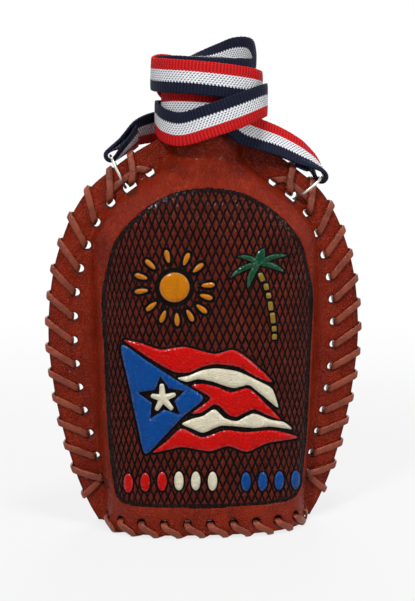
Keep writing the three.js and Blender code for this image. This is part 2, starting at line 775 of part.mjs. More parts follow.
// Assembly
const colours = {
  glass: { color: 0xcfdcd6, roughness: 0.08, metalness: 0 },
  plastic: { color: 0x1c1c1f, roughness: 0.4, metalness: 0 },
  foam: { color: 0xe9e6df, roughness: 0.8, metalness: 0 },
  hide: { color: 0x8c2a14, roughness: 0.35, metalness: 0 },
  lace: { color: 0x964b32, roughness: 0.4, metalness: 0 },
  webbing: { color: 0x1a2138, roughness: 0.85, metalness: 0 },
  metal: { color: 0xb9b2a2, roughness: 0.25, metalness: 1 },
};

const flask = new THREE.Group();

function add(name, geometry, material) {
  const mesh = new THREE.Mesh(geometry, new THREE.MeshStandardMaterial(colours[material]));
  mesh.name = name;
  flask.add(mesh);
  return mesh;
}

add("glass_bottle", glassBottle(), "glass");
add("cap_liner", capLiner(), "foam");
add("screw_cap", screwCap(), "plastic");
add("front_cover", cover(-1), "hide");
add("back_cover", cover(1), "hide");
add("base_cover", baseCover(), "hide");

const report = (name, stations, thickness, spacing, reach) => {
  const { gap, length, from, to } = leastGap(stations, thickness, spacing, reach);
  const where = [from, to].map(({ at, s }) => [s, ...at.toArray()].map((v) => v.toFixed(1)).join(" "));
  console.log(name, "length", length.toFixed(0), "least gap to itself", gap.toFixed(2), where.join(" | "));
};

for (const side of Object.keys(sides)) {
  const stations = sideLace(side);
  add(side + "_side_lace", band(stations, laceThickness), "lace");
  report(side + "_side_lace", stations, laceThickness, laceThickness / 2, laceWidth * 2.5);
}
for (const [name, facing] of [["front_base_lace", -1], ["back_base_lace", 1]]) {
  const stations = baseLace(facing);
  add(name, band(stations, laceThickness), "lace");
  report(name, stations, laceThickness, laceThickness / 2, laceWidth * 2.5);
}
for (const side of Object.keys(sides)) {
  const { geometry, centre, turn } = jumpRing(side);
  const ring = add(side + "_ring", geometry, "metal");
  ring.position.copy(centre);
  ring.quaternion.copy(turn);
}
const strap = strapStations();
add("strap", band(strap, strapThickness), "webbing");
report("strap", strap, strapThickness, strapThickness, strapWidth * 1.2);

export default flask;
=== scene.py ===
import math

import bmesh
import bpy
import numpy as np
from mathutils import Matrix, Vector


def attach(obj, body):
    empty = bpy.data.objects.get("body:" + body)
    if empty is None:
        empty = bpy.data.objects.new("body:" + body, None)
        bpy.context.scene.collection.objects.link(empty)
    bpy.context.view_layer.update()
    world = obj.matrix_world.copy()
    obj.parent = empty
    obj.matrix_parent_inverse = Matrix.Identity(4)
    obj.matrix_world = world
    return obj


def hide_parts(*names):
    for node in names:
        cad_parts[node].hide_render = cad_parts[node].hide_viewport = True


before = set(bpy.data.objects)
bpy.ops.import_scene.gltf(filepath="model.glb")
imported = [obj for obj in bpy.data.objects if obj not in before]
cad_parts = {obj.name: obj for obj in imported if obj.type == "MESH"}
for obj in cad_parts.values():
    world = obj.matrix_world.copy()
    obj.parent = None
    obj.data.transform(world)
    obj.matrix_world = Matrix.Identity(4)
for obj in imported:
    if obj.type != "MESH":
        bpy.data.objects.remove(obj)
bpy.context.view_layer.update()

# The flask faces -Y. Every length below is in millimetres until make_piece turns it into metres.
MM = 0.001

# ---------------------------------------------------------------- camera, floor and light


camera_azimuth, camera_distance, camera_height, camera_aim = math.radians(-4), 408, 152, (1.2, 0, 93.3)
sensor_width, focal_length, nearest_seen = 36, 59.96, 0.01
world_strength, lamp_aim = 0.28, (0, 0, 100)
# In metres: the floor's half side, and each lamp's name, place, side and power
floor_reach = 3.0
lamps = [("key_lamp", (-0.4, -0.7, 0.75), 0.16, 6.6), ("fill_lamp", (0.7, -0.6, 0.45), 0.3, 2.7),
         ("top_lamp", (0.1, -0.2, 0.9), 0.14, 3.4), ("back_lamp", (0.2, 0.9, 0.6), 0.6, 5.4)]


def set_up(thing, location, aim):
    """Puts a camera or a lamp at a place, turned towards an aim in millimetres."""
    thing.location = location
    thing.rotation_euler = (Vector(aim) * MM - thing.location).to_track_quat("-Z", "Y").to_euler()
    bpy.context.scene.collection.objects.link(thing)


def set_camera():
    camera = bpy.data.objects.new("camera", bpy.data.cameras.new("camera"))
    lens = camera.data
    lens.sensor_width, lens.lens, lens.clip_start = sensor_width, focal_length, nearest_seen
    x = camera_aim[0] + camera_distance * math.sin(camera_azimuth)
    place = Vector((x, -camera_distance * math.cos(camera_azimuth), camera_height)) * MM
    set_up(camera, place, camera_aim)
    bpy.context.scene.camera = camera


def looking_rays(tree):
    """1 for the rays that see the background: from the camera, off a gloss or through glass."""
    path = place_node(tree, "LightPath").outputs
    camera, glossy, through = (Value(tree, path[f"Is {ray} Ray"])
                               for ray in ("Camera", "Glossy", "Transmission"))
    return calc("MAXIMUM", calc("MAXIMUM", camera, glossy), through)


def show_instead(share, usual, instead, output):
    """Shows the second shader where the share is 1."""
    tree = share.tree
    mix = place_node(tree, "MixShader")
    feed(mix.inputs[0], share)
    tree.links.new(usual.outputs[0], mix.inputs[1])
    tree.links.new(instead.outputs[0], mix.inputs[2])
    tree.links.new(mix.outputs[0], tree.nodes[output].inputs[0])


def lay_floor():
    """A floor that keeps the flask's shadow and turns plain white away from it."""
    mesh = bpy.data.meshes.new("floor")
    corners = [(x * floor_reach, y * floor_reach, 0) for x, y in ((-1, -1), (1, -1), (1, 1), (-1, 1))]
    mesh.from_pydata(corners, [], [(0, 1, 2, 3)])
    floor = bpy.data.objects.new("floor", mesh)
    bpy.context.scene.collection.objects.link(floor)
    finish = Finish("pale_floor")
    finish.set(Base_Color=(0.5, 0.5, 0.5, 1), Roughness=0.9)
    away = place_node(finish.tree, "VectorMath", operation="LENGTH")
    feed(away.inputs[0], object_place(finish.tree))
    whiter_away = spread(Value(finish.tree, away.outputs["Value"]), 0.1, 0.6, 0.78, 1.0)
    show_instead(looking_rays(finish.tree) * whiter_away, finish.shader, place_node(finish.tree, "Emission"),
                 "Material Output")
    mesh.materials.append(finish.material)


def light_studio():
    """A dim white world that looks plain white, and four square lamps."""
    world = bpy.data.worlds.new("studio")
    bpy.context.scene.world = world
    world.use_nodes = True
    tree = world.node_tree
    lit, seen = tree.nodes["Background"], place_node(tree, "Background")
    feed_named(lit, {"Color": (1, 1, 1, 1), "Strength": world_strength})
    feed_named(seen, {"Color": (1, 1, 1, 1)})
    show_instead(looking_rays(tree), lit, seen, "World Output")
    for name, place, size, power in lamps:
        lamp = bpy.data.lights.new(name, "AREA")
        lamp.size, lamp.energy = size, power
        set_up(bpy.data.objects.new(name, lamp), place, lamp_aim)
    bpy.context.scene.view_settings.view_transform = "Standard"


# ---------------------------------------------------------------- the flask's own dimensions

bottle_width, bottle_depth, base_width, glass_wall = 86, 41, 79, 2.3
heel_radius, base_flare_height = 10, 12
shoulder_start, shoulder_height = 112, 39
neck_radius, neck_bore, finish_root_radius = 11.8, 9.5, 12.45
bead_radius, bead_height = 14, 2.4
thread_radius, thread_pitch, thread_turns = 13.7, 4.23, 1.5
cap_radius, cap_height, cap_top_thickness, cap_bottom = 15.2, 18, 1.5, 172.2
leather, cover_clearance, seam_gap, fit_gap = 2.0, 0.6, 0.3, 0.3
flask_width, leather_top, rim_lift, root_fillet, least_flange = 127.8, 160.3, 1.3, 2.2, 0.5
soft_root, hole_to_root, edge_roll = 6.0, 2.6, 0.6
base_flat_inset, base_rise_inset, base_bed_inset, base_shelf_inset = 10.5, 7.6, 8.4, 5
lace_width, lace_thickness, thong_width, thong_thickness = 2.2, 0.8, 2.75, 0.98
hole_radius, ring_hole_radius, doubled_hole_radius, base_hole_radius = 1.8, 2.8, 2.4, 1.6
hole_inset, lowest_hole, side_holes = 10, 19.2, 15
lace_rise, lace_set_out, lace_stack, doubled_lift, last_set_out = 0.78, 0.5, 1.4, 0.2, 1
doubled_drop, doubled_outer, doubled_inner, tail_inset = -0.35, 1.2, -0.35, 6.2
thong_step, thong_corners = 0.7, 12
highest_hole_x = {"left": 22.5, "right": 28}
ring_index = side_holes - 2
base_hole_height, base_hole_pitch, base_hole_shift, base_holes, base_hole_inset = 6, 9.3, 0.8, 11, 3.2
strap_width, strap_thickness, gathered_width, rib_pitch, yarn_pitch = 12.7, 1.2, 6.0, 1.35, 0.84
ring_radius, ring_wire, ring_drop, ring_set_out, loop_radius = 7, 1.2, 1.7, 0.6, 2
ring_lean = {"left": math.radians(13), "right": math.radians(-13)}
sides = {"left": -1, "right": 1}

edge_shares = [(0, 0.7), (0.04, 0.755), (0.118, 0.834), (0.258, 0.928), (0.385, 0.981), (0.505, 1),
               (0.655, 0.962), (0.775, 0.868), (0.843, 0.775), (0.882, 0.689), (0.922, 0.563), (0.95, 0.469),
               (0.973, 0.376), (1, 0.25)]
shoulder_shares = [(0, 1), (0.25, 0.965), (0.5, 0.76), (0.67, 0.525), (0.83, 0.245), (1, 0)]
shoulder_depth_shares = [(0, 1), (0.35, 0.97), (0.6, 0.8), (0.83, 0.36), (1, 0)]


def smooth(table, x):
    """A smooth curve through a table of pairs, read at x."""
    last = len(table) - 1
    x = min(max(x, table[0][0]), table[last][0])
    k = 0
    while k < last - 1 and x > table[k + 1][0]:
        k += 1

    def slope(i):
        a, b = table[max(i - 1, 0)], table[min(i + 1, last)]
        return (b[1] - a[1]) / (b[0] - a[0])

    (x0, y0), (x1, y1) = table[k], table[k + 1]
    span = x1 - x0
    t = (x - x0) / span
    start = y0 * (2 * t**3 - 3 * t**2 + 1) + y1 * (3 * t**2 - 2 * t**3)
    return start + span * (slope(k) * (t**3 - 2 * t**2 + t) + slope(k + 1) * (t**3 - t**2))


def bottle_section(z):
    """Half width, half depth and squareness of the glass at a height."""
    flare = min(max((z - base_flare_height) / (shoulder_start - base_flare_height), 0), 1)
    body = (base_width + (bottle_width - base_width) * (2 - flare) * flare) / 2
    rise = min(max((z - shoulder_start) / shoulder_height, 0), 1)
    width_left, depth_left = smooth(shoulder_shares, rise), smooth(shoulder_depth_shares, rise)
    return (neck_radius + (body - neck_radius) * width_left,
            neck_radius + (bottle_depth / 2 - neck_radius) * depth_left, 2 + 0.8 * depth_left)


def on_section(section, angle, grow):
    """The points of the superellipse at angles from +X."""
    a, b, n = section
    c, s = np.cos(angle), np.sin(angle)
    bend = lambda value: np.sign(value) * np.abs(value) ** (2 / n)
    return (a + grow) * bend(c), (b + grow) * bend(s)


def flange_edge(z):
    return flask_width / 2 * smooth(edge_shares, (z - rim_lift) / (leather_top - rim_lift))


def full_turn(count):
    """Angles all round, count of them."""
    return np.linspace(0, 2 * math.pi, count, endpoint=False)


def unit(v):
    return v / np.linalg.norm(v)


# ---------------------------------------------------------------- making meshes


def make_piece(name, points, faces, body="root"):
    """A closed mesh from points in millimetres, its faces turned out."""
    mesh = bpy.data.meshes.new(name)
    mesh.from_pydata((np.asarray(points, dtype=float) * MM).tolist(), [], faces)
    shell = bmesh.new()
    shell.from_mesh(mesh)
    bmesh.ops.recalc_face_normals(shell, faces=shell.faces)
    shell.to_mesh(mesh)
    shell.free()
    mesh.shade_smooth()
    piece = bpy.data.objects.new(name, mesh)
    bpy.context.scene.collection.objects.link(piece)
    if body:
        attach(piece, body)
    return piece


def ring_faces(rings, count, first=0):
    """The faces of a tube of rings with count points each, capped at both ends."""
    faces = []
    for r in range(rings - 1):
        for k in range(count):
            a, b = first + r * count + k, first + r * count + (k + 1) % count
            faces.append((a, b, b + count, a + count))
    faces.append(tuple(first + k for k in reversed(range(count))))
    faces.append(tuple(first + (rings - 1) * count + k for k in range(count)))
    return faces


def from_rings(name, rings, body="root"):
    """A closed surface from rings with as many points each, capped at both ends."""
    rings = np.asarray(rings)
    return make_piece(name, rings.reshape(-1, 3), ring_faces(rings.shape[0], rings.shape[1]), body)


def joined_mesh(parts):
    """Points and faces of several closed surfaces in one mesh."""
    points, faces = [], []
    for rings in parts:
        rings = np.asarray(rings)
        faces += ring_faces(rings.shape[0], rings.shape[1], first=sum(len(p) for p in points))
        points.append(rings.reshape(-1, 3))
    return np.concatenate(points), faces


def cut_holes(piece, drills):
    """Cuts the drills' cylinders out of the piece."""
    points, faces = joined_mesh(drills)
    tool = make_piece(piece.name + "_drills", points, faces, body=None)
    cut = piece.modifiers.new("holes", "BOOLEAN")
    cut.operation, cut.object, cut.solver = "DIFFERENCE", tool, "MANIFOLD"
    bpy.context.view_layer.update()
    made = bpy.data.meshes.new_from_object(piece.evaluated_get(bpy.context.evaluated_depsgraph_get()))
    piece.modifiers.clear()
    piece.data = made
    bpy.data.objects.remove(tool)


def drill(radius, length, place, direction):
    """A cylinder about a place along a direction, as two rings."""
    direction = unit(np.asarray(direction, dtype=float))
    side = unit(np.cross(direction, [0.3, 0.2, 1] if abs(direction[2]) < 0.9 else [1, 0, 0]))
    other = np.cross(direction, side)
    angle = full_turn(28)[:, None]
    ring = radius * (np.cos(angle) * side + np.sin(angle) * other)
    return np.stack([np.asarray(place) + ring + direction * length * t for t in (-0.5, 0.5)])


def give_numbers(piece, name, values):
    piece.data.attributes.new(name, "FLOAT", "POINT").data.foreach_set("value", np.asarray(values, "f"))


def vertices_of(piece):
    """The places, in millimetres, and the normals of a piece's vertices."""
    places, normals = np.empty((2, len(piece.data.vertices) * 3), "f")
    piece.data.vertices.foreach_get("co", places)
    piece.data.vertices.foreach_get("normal", normals)
    return places.reshape(-1, 3) / MM, normals.reshape(-1, 3)


# ---------------------------------------------------------------- the seam and its holes


def seam_line():
    """The line of the lacing holes up the right side, as (length from the rim, place, way out)."""
    samples, step = [], 0.4
    z = rim_lift + step
    while z < leather_top - step:
        slope = (flange_edge(z + step) - flange_edge(z - step)) / (2 * step)
        out = unit(np.array([1, 0, -slope]))
        hole = np.array([flange_edge(z), 0, z]) - out * hole_inset
        length = samples[-1][0] + np.linalg.norm(hole - samples[-1][1]) if samples else 0
        samples.append((length, hole, out))
        z += step
    return samples


seam = seam_line()
seam_lengths = np.array([s for s, _, _ in seam])


def seam_at(s, side):
    """The hole line's place, the way out and the way along, at a length from the rim."""
    k = int(np.clip(np.searchsorted(seam_lengths, s) - 1, 0, len(seam) - 2))
    (s0, hole0, out0), (s1, hole1, out1) = seam[k], seam[k + 1]
    t = (s - s0) / (s1 - s0)
    mirror = np.array([sides[side], 1, 1])
    hole = (hole0 + (hole1 - hole0) * t) * mirror
    out = unit(out0 + (out1 - out0) * t) * mirror
    return hole, out, np.array([-out[2] * sides[side], 0, out[0] * sides[side]])


def hole_lengths(side):
    start = next(s for s, hole, _ in seam if hole[2] >= lowest_hole)
    end = next(s for s, hole, _ in seam if hole[0] <= highest_hole_x[side] and hole[2] > shoulder_start)
    return [start + (end - start) * i / (side_holes - 1) for i in range(side_holes)]


def side_hole_places():
    places = []
    for side in sides:
        for i, s in enumerate(hole_lengths(side)):
            radius = {0: doubled_hole_radius, ring_index: ring_hole_radius}.get(i, hole_radius)
            places.append((seam_at(s, side)[0], radius))
    return places


def wall_line():
    """The moulded wall at the base holes, from the middle out, as lengths, x and y."""
    section = bottle_section(base_hole_height)
    angle = math.pi / 2 - np.linspace(0, 1, 61) * math.pi / 2
    x, y = on_section(section, angle, cover_clearance + leather)
    return np.concatenate([[0], np.cumsum(np.hypot(np.diff(x), np.diff(y)))]), x, y


wall = wall_line()


def wall_at(s, facing):
    """The place and the outward way on the moulded wall at a length from the middle, front or back."""
    lengths, x, y = wall
    length, side = abs(s), -1 if s < 0 else 1
    k = int(np.clip(np.searchsorted(lengths, length) - 1, 0, len(x) - 2))
    t = (length - lengths[k]) / (lengths[k + 1] - lengths[k])
    place = np.array([(x[k] + (x[k + 1] - x[k]) * t) * side, (y[k] + (y[k + 1] - y[k]) * t) * facing, 0])
    before, after = max(k - 2, 0), min(k + 3, len(x) - 1)
    out = unit(np.array([-(y[after] - y[before]) * side, (x[after] - x[before]) * facing, 0]))
    return place, out


def base_hole_length(i):
    return base_hole_shift + (i - (base_holes - 1) / 2) * base_hole_pitch


# ---------------------------------------------------------------- the tooled picture on the front

# Places are (x, z) on a flat picture, square to the viewer.
# The arch's right half, from its top to its foot
arch_half = [(0.3, 139.3), (8, 138.6), (14.9, 136.7), (23.5, 131.8), (30.9, 125.2), (36, 118),
             (39.2, 106.7), (40.8, 97), (40.2, 77), (39.2, 45), (37.8, 28), (36.4, 19), (33.5, 15.4),
             (24, 13.6), (0, 12.6)]
# The flag's triangle and stripes, clockwise
hoist = [(-34, 79), (-24, 72.5), (-13, 65), (-2, 57.5), (-10, 50), (-17.5, 42), (-25, 35), (-28, 46.5),
         (-31, 62)]
red_stripe_top = [(-33, 81), (-26, 79.5), (-18.5, 77), (-9.5, 78), (2.5, 75), (10, 76.5), (17, 72),
                  (25.5, 63.5), (19, 65.5), (12.5, 69.5), (3.5, 71), (-2, 70), (-7.5, 67.8), (-13, 68),
                  (-18.5, 70.8), (-25, 75)]
white_stripe_top = [(-12, 65.5), (-7.5, 66.5), (-2.5, 68.5), (3.5, 69.2), (12, 67.7), (20.5, 63.6),
                    (25.5, 60.5), (28, 53), (24, 56), (19, 60.2), (16, 62.3), (10.5, 61.2), (7, 62),
                    (1.5, 64), (-4, 65), (-8.5, 64)]
red_stripe_middle = [(-6.5, 62.3), (-2, 63), (3.5, 61.7), (9, 59.5), (15, 60.9), (18, 59.6), (22.5, 55),
                     (29, 48), (23.5, 50), (18, 52.4), (11.5, 49.5), (8, 50.5), (4.5, 54), (2, 54.5),
                     (-2.5, 51.5), (-6.4, 51.2), (-2.6, 54), (0.8, 57.5)]
white_stripe_low = [(-10.5, 47), (-6, 49), (-2, 50), (2.5, 52.6), (6.5, 49), (11.5, 47.7), (18, 50.6),
                    (25, 48), (30.5, 46.8), (33.5, 44), (25, 45.2), (18, 44.8), (9, 45.8), (4.5, 45.8),
                    (-2, 43.2), (-6.5, 45)]
red_stripe_low = [(-22, 35.5), (-16.5, 40), (-10.5, 45), (-2.5, 41.3), (7, 44), (15, 43), (26, 43.6),
                  (36, 40.5), (24, 38.5), (15.5, 35), (8, 37.5), (0.5, 35.5), (-10, 37.5), (-16, 36.5)]
# The palm: each frond's tip and half width, each piece of the trunk with its half height and lean in degrees
palm_crown = (20, 110.5)
frond_tips = [(11.2, 113.4, 1.0), (22.1, 116.6, 1.7), (31.2, 113.7, 1.0), (30, 107, 1.05),
              (15.6, 100.5, 1.2), (8.5, 104.9, 1.05)]
trunk_pieces = [(20.9, 105.3, 1.75, 25), (22.8, 101.5, 1.3, 14), (23.8, 98, 1.1, 10),
                (24.6, 93.9, 1.75, 7), (25.5, 89.1, 2.1, 6), (26.1, 84.8, 1.1, 3), (26.2, 81.6, 1.1, 0)]
# The star's black tips and white arms, from its centre
star_tips = [(-0.9, 8.9), (8.8, 2.9), (6.8, -6.9), (-5, -8.3), (-10, 2.5)]
star_arms = [(-0.3, 5.0), (4.3, 1.3), (3.3, -4.0), (-2.2, -4.1), (-3.8, 1.0)]
star_centre, star_inner, star_arm = (-18, 57.5), 4.7, 0.9
# The sun, and its petals as (turn in degrees from straight up, distance from the sun's centre)
sun_centre, sun_radius, petal_size = (-13.1, 101.6), 5.8, (2.55, 0.95)
petals = [(-12.9, 12.4), (22.6, 11.9), (50.5, 11.9), (86.7, 13.1), (107.2, 12.9), (129, 13.6),
          (151.8, 12.7), (176, 12.7), (201.8, 12.3), (231, 11.7), (264, 13), (288.4, 13.7), (314, 13)]
seed_size, seed_row, seed_pitch = (3.9, 1.85), (-32, 23), 6.75
mesh_width, mesh_height, mesh_closing = 2.95, 6.8, 7.5e-8
field_depth, mesh_depth, border_depth, groove_depth = 0.3, 0.36, 0.3, 0.55
shape_rise, shape_sink, shape_round = 0.5, 0.12, 1.3
picture_viewer, picture_distance, picture_reach, front_of_flange = (-27.3, -407.0, 152.0), 386, 6.0, -8

# Paints, as they look on the screen
sun_yellow, palm_green, trunk_olive = (196, 116, 2), (2, 68, 40), (140, 112, 24)
hoist_blue, stripe_red, cream = (2, 68, 140), (194, 6, 2), (220, 212, 186)


def linear(colour):
    c = np.asarray(colour, dtype=float) / 255
    return np.where(c <= 0.04045, c / 12.92, ((c + 0.055) / 1.055) ** 2.4)


def rounded_outline(points, per_side=6):
    """A closed outline bent smoothly through its points."""
    p = np.asarray(points, dtype=float)
    t = (np.arange(per_side) / per_side)[:, None, None]
    a, b, c, d = (np.roll(p, k, axis=0)[None] for k in (1, 0, -1, -2))
    tension = 0.36
    m0, m1 = (c - a) * tension, (d - b) * tension
    curve = (b * (2 * t**3 - 3 * t**2 + 1) + m0 * (t**3 - 2 * t**2 + t) + c * (3 * t**2 - 2 * t**3)
             + m1 * (t**3 - t**2))
    return curve.transpose(1, 0, 2).reshape(-1, 2)


def outline_distance(places, outline, reach=4.0):
    """Signed distance to a closed outline, negative inside, for the places near it."""
    low, high = outline.min(axis=0) - reach, outline.max(axis=0) + reach
    result = np.full(len(places), reach)
    near = np.all((places >= low) & (places <= high), axis=1)
    p = places[near]
    least, inside = np.full(len(p), np.inf), np.zeros(len(p), bool)
    for a, b in zip(outline, np.roll(outline, -1, axis=0)):
        edge, from_a = b - a, p - a
        t = np.clip(from_a @ edge / max(edge @ edge, 1e-9), 0, 1)[:, None]
        least = np.minimum(least, np.sum((from_a - t * edge) ** 2, axis=1))
        if a[1] != b[1]:
            crosses = (a[1] > p[:, 1]) != (b[1] > p[:, 1])
            inside ^= crosses & (p[:, 0] < (b[0] - a[0]) * (p[:, 1] - a[1]) / (b[1] - a[1]) + a[0])
    distance = np.sqrt(least)
    result[near] = np.where(inside, -distance, distance)
    return result


def along_and_across(places, centre, turn):
    """The places from a centre, along and across a way that is turned in degrees from +Z."""
    x, z = places[:, 0] - centre[0], places[:, 1] - centre[1]
    c, s = math.cos(math.radians(turn)), math.sin(math.radians(turn))
    return x * s + z * c, x * c - z * s


def seed_distance(places, centre, long_half, wide_half, turn=0.0, swell=0.0):
    """Distance to an oval, long along the turn from +Z and swelling towards its far end."""
    along, across = along_and_across(places, centre, turn)
    wide = wide_half * (1 + swell * np.clip(along / long_half, -1.6, 1.6))
    level = np.maximum(np.hypot(along / long_half, across / wide), 0.05)
    steepness = np.hypot(along / long_half**2, across / wide**2) / level
    return (level - 1) / np.maximum(steepness, 1 / long_half)


def block_distance(places, centre, long_half, wide_half, turn):
    """Signed distance to a block with round corners, long along the turn from +Z."""
    corner = 0.5
    along, across = (np.abs(value) for value in along_and_across(places, centre, turn))
    along, across = along - long_half + corner, across - wide_half + corner
    outside = np.hypot(np.maximum(along, 0), np.maximum(across, 0))
    return outside + np.minimum(np.maximum(along, across), 0) - corner


def star_outline():
    """The star's outline through its tips, its inner corners at one distance from the centre."""
    points = []
    for tip, following in zip(star_tips, star_tips[1:] + star_tips[:1]):
        points += [np.array(tip), unit(unit(np.array(tip)) + unit(np.array(following))) * star_inner]
    return np.array(points) + star_centre


def arms_distance(places):
    """Distance to the five round-ended arms of the white star."""
    from_centre = places - star_centre
    least = np.full(len(places), 99.0)
    for arm in np.array(star_arms):
        t = np.clip(from_centre @ arm / (arm @ arm), 0, 1)
        least = np.minimum(least, np.hypot(*(from_centre - t[:, None] * arm).T) - star_arm * (1.6 - 0.6 * t))
    return least


def frond_outline(crown, tip, half):
    """One arched leaf of the palm from its crown to its tip."""
    crown, tip = np.asarray(crown), np.asarray(tip)
    along = tip - crown
    side = np.array([-along[1], along[0]])
    lift = -0.16 if along[0] > 0 else 0.16
    t = np.linspace(0, 1, 12)[:, None]
    spine = crown + along * t - side * lift * 4 * t * (1 - t) * 0.6
    width = half * np.sin(np.pi * np.clip(t * 0.86 + 0.14, 0, 1)) ** 0.8
    way = np.gradient(spine, axis=0)
    way = way / np.linalg.norm(way, axis=1)[:, None]
    across = np.stack([-way[:, 1], way[:, 0]], axis=1) * width
    return np.concatenate([spine + across, (spine - across)[::-1]])


def painted_shapes(places):
    """Every painted shape as (distance, colour, groove width)."""
    shapes = []
    for outline, colour in [(hoist, hoist_blue), (red_stripe_top, stripe_red), (white_stripe_top, cream),
                            (red_stripe_middle, stripe_red), (white_stripe_low, cream),
                            (red_stripe_low, stripe_red)]:
        shapes.append((outline_distance(places, rounded_outline(outline)), colour, 1.0))
    shapes.append((np.hypot(*(places - sun_centre).T) - sun_radius, sun_yellow, 2.0))
    for turn, reach in petals:
        centre = sun_centre + reach * np.array([math.sin(math.radians(turn)), math.cos(math.radians(turn))])
        shapes.append((seed_distance(places, centre, *petal_size, turn, 0.22), sun_yellow, 1.15))
    for x, z, half in frond_tips:
        shapes.append((outline_distance(places, frond_outline(palm_crown, (x, z), half)), palm_green, 0.65))
    for x, z, half, lean in trunk_pieces:
        shapes.append((block_distance(places, (x, z), half, 0.95, -lean), trunk_olive, 0.7))
    for k, colour in enumerate([stripe_red] * 3 + [cream] * 3 + [None] + [hoist_blue] * 4):
        if colour:
            centre = (seed_row[0] + seed_pitch * k, seed_row[1] + 0.5 * math.sin(k * 0.6))
            shapes.append((seed_distance(places, centre, *seed_size), colour, 0.75))
    return shapes


def ease(low, high, x):
    t = np.clip((x - low) / (high - low), 0, 1)
    return t * t * (3 - 2 * t)


def tooling(places):
    """The relief, the paint and its masks at places of the front, given as x and z."""
    half = np.asarray(arch_half, dtype=float)
    arch = np.concatenate([half, half[1:-1][::-1] * [-1, 1]])
    # Whole millimetres, which makes the border a flat groove of one millimetre either side of the arch
    field = np.trunc(outline_distance(places, rounded_outline(arch, 5), picture_reach))
    in_field = 1 - ease(-0.4, 0.2, field)
    border = 1 - ease(0.1, 0.6, np.abs(field))
    # The pressed mesh closes up towards the sides, where the front turns away
    x = places[:, 0] + mesh_closing * places[:, 0] ** 5
    rising = x / mesh_width + places[:, 1] / mesh_height
    falling = x / mesh_width - places[:, 1] / mesh_height
    spacing = 1 / math.hypot(1 / mesh_width, 1 / mesh_height)
    line = np.minimum(np.abs(rising - np.round(rising)), np.abs(falling - np.round(falling))) * spacing
    mesh_groove = (1 - ease(0.05, 0.75, line)) * in_field
    height = -field_depth * in_field - mesh_depth * mesh_groove - border_depth * border
    paint = np.zeros((len(places), 3))
    gap, groove_gap = np.full((2, len(places)), picture_reach)
    for distance, colour, groove in painted_shapes(places):
        paint[distance < gap] = linear(colour)
        gap = np.minimum(gap, distance)
        groove_gap = np.minimum(groove_gap, distance - groove)
    star_gap, star = outline_distance(places, star_outline()), arms_distance(places)
    gap, groove_gap = np.maximum(gap, -star_gap), np.minimum(groove_gap, star_gap)
    paint[star < 0.4] = linear(cream)
    gap = np.minimum(gap, star)
    height = np.where((groove_gap < -0.1) & (gap > 0), -groove_depth, height)
    height = np.where(gap <= 0, shape_rise * (1 - ease(-shape_round, 0.1, gap)) - shape_sink, height)
    return {"height": height, "paint": paint, "shape_gap": gap, "groove_gap": groove_gap, "arch_gap": field,
            "rising": rising, "falling": falling}


def on_picture_plane(places):
    """Where a place of the front lies on the flat picture, which was laid out square to the viewer."""
    share = (picture_distance / (places[:, 1] - picture_viewer[1]))[:, None]
    flat = picture_viewer + (places - picture_viewer) * share
    return flat[:, [0, 2]]


# ---------------------------------------------------------------- leather covers


def half_section(z, face, shares):
    """Half of the cover's section from the middle out to the flange's edge."""
    section = bottle_section(z)
    outer_grow = cover_clearance + leather
    level = seam_gap / 2 + leather

    def wall_at_height(y):
        turn = math.asin(min((y / (section[1] + outer_grow)) ** (section[2] / 2), 1))
        return turn, on_section(section, turn, outer_grow)[0]

    root_angle, root_x = wall_at_height(level + root_fillet)
    slope = (flange_edge(min(z + 1, leather_top)) - flange_edge(max(z - 1, rim_lift))) / 2
    free = (flange_edge(z) - root_x) / math.hypot(1, slope) - hole_inset - hole_to_root
    soft = min(max(free, root_fillet), soft_root)
    if face == "outer":
        root_angle, start_x = wall_at_height(level + soft)
    angle = math.pi / 2 + (root_angle - math.pi / 2) * np.linspace(0, 1, 260)
    x, y = on_section(section, angle, outer_grow if face == "outer" else cover_clearance)
    length = np.concatenate([[0], np.cumsum(np.hypot(np.diff(x), np.diff(y)))])
    places = np.asarray(shares) * length[-1]
    body = np.stack([np.interp(places, length, x), np.interp(places, length, y)], axis=1)[:-1]
    edge = max(flange_edge(z), root_x + root_fillet + least_flange)
    if face == "outer":
        start = root_x + soft
        fall = unit(np.array([x[-1] - x[-4], y[-1] - y[-4]])) * soft * 1.5
        t = np.linspace(0, 1, 9)[:, None]
        fillet = (np.array([start_x, level + soft]) * (2 * t**3 - 3 * t**2 + 1) + fall * (t**3 - 2 * t**2 + t)
                  + np.array([start, level]) * (3 * t**2 - 2 * t**3)
                  + np.array([soft * 1.5, 0]) * (t**3 - t**2))
    else:
        start, radius = root_x + root_fillet, root_fillet + leather
        turn = np.radians(np.linspace(0, 90, 9))
        fillet = np.stack([start - radius * np.cos(turn), level + root_fillet - radius * np.sin(turn)],
                          axis=1)
        level -= leather
    roll = min(edge_roll, (edge - start) * 0.4) if face == "outer" else 0
    flat = np.stack([start + (edge - roll - start) * np.linspace(0, 1, 11)[1:], np.full(10, level)], axis=1)
    corner = np.radians([22, 45, 68, 90])
    rolled = np.stack([edge - roll + roll * np.sin(corner), level - roll + roll * np.cos(corner)], axis=1)
    if face == "inner":
        rolled = np.array([[edge - 0.15 * k, level] for k in (3, 2, 1, 0)])
        flat[-1, 0] = edge - edge_roll
    return np.concatenate([body, fillet, flat, rolled])


def grid_faces(rows, columns, first, corners=(0, 1, 2, 3)):
    """The faces of a grid of points, their corners taken in the order given."""
    r, c = np.meshgrid(np.arange(rows - 1), np.arange(columns - 1), indexing="ij")
    a = first + (r * columns + c).ravel()
    around = [a, a + 1, a + 1 + columns, a + columns]
    return np.stack([around[k] for k in corners], axis=1).tolist()


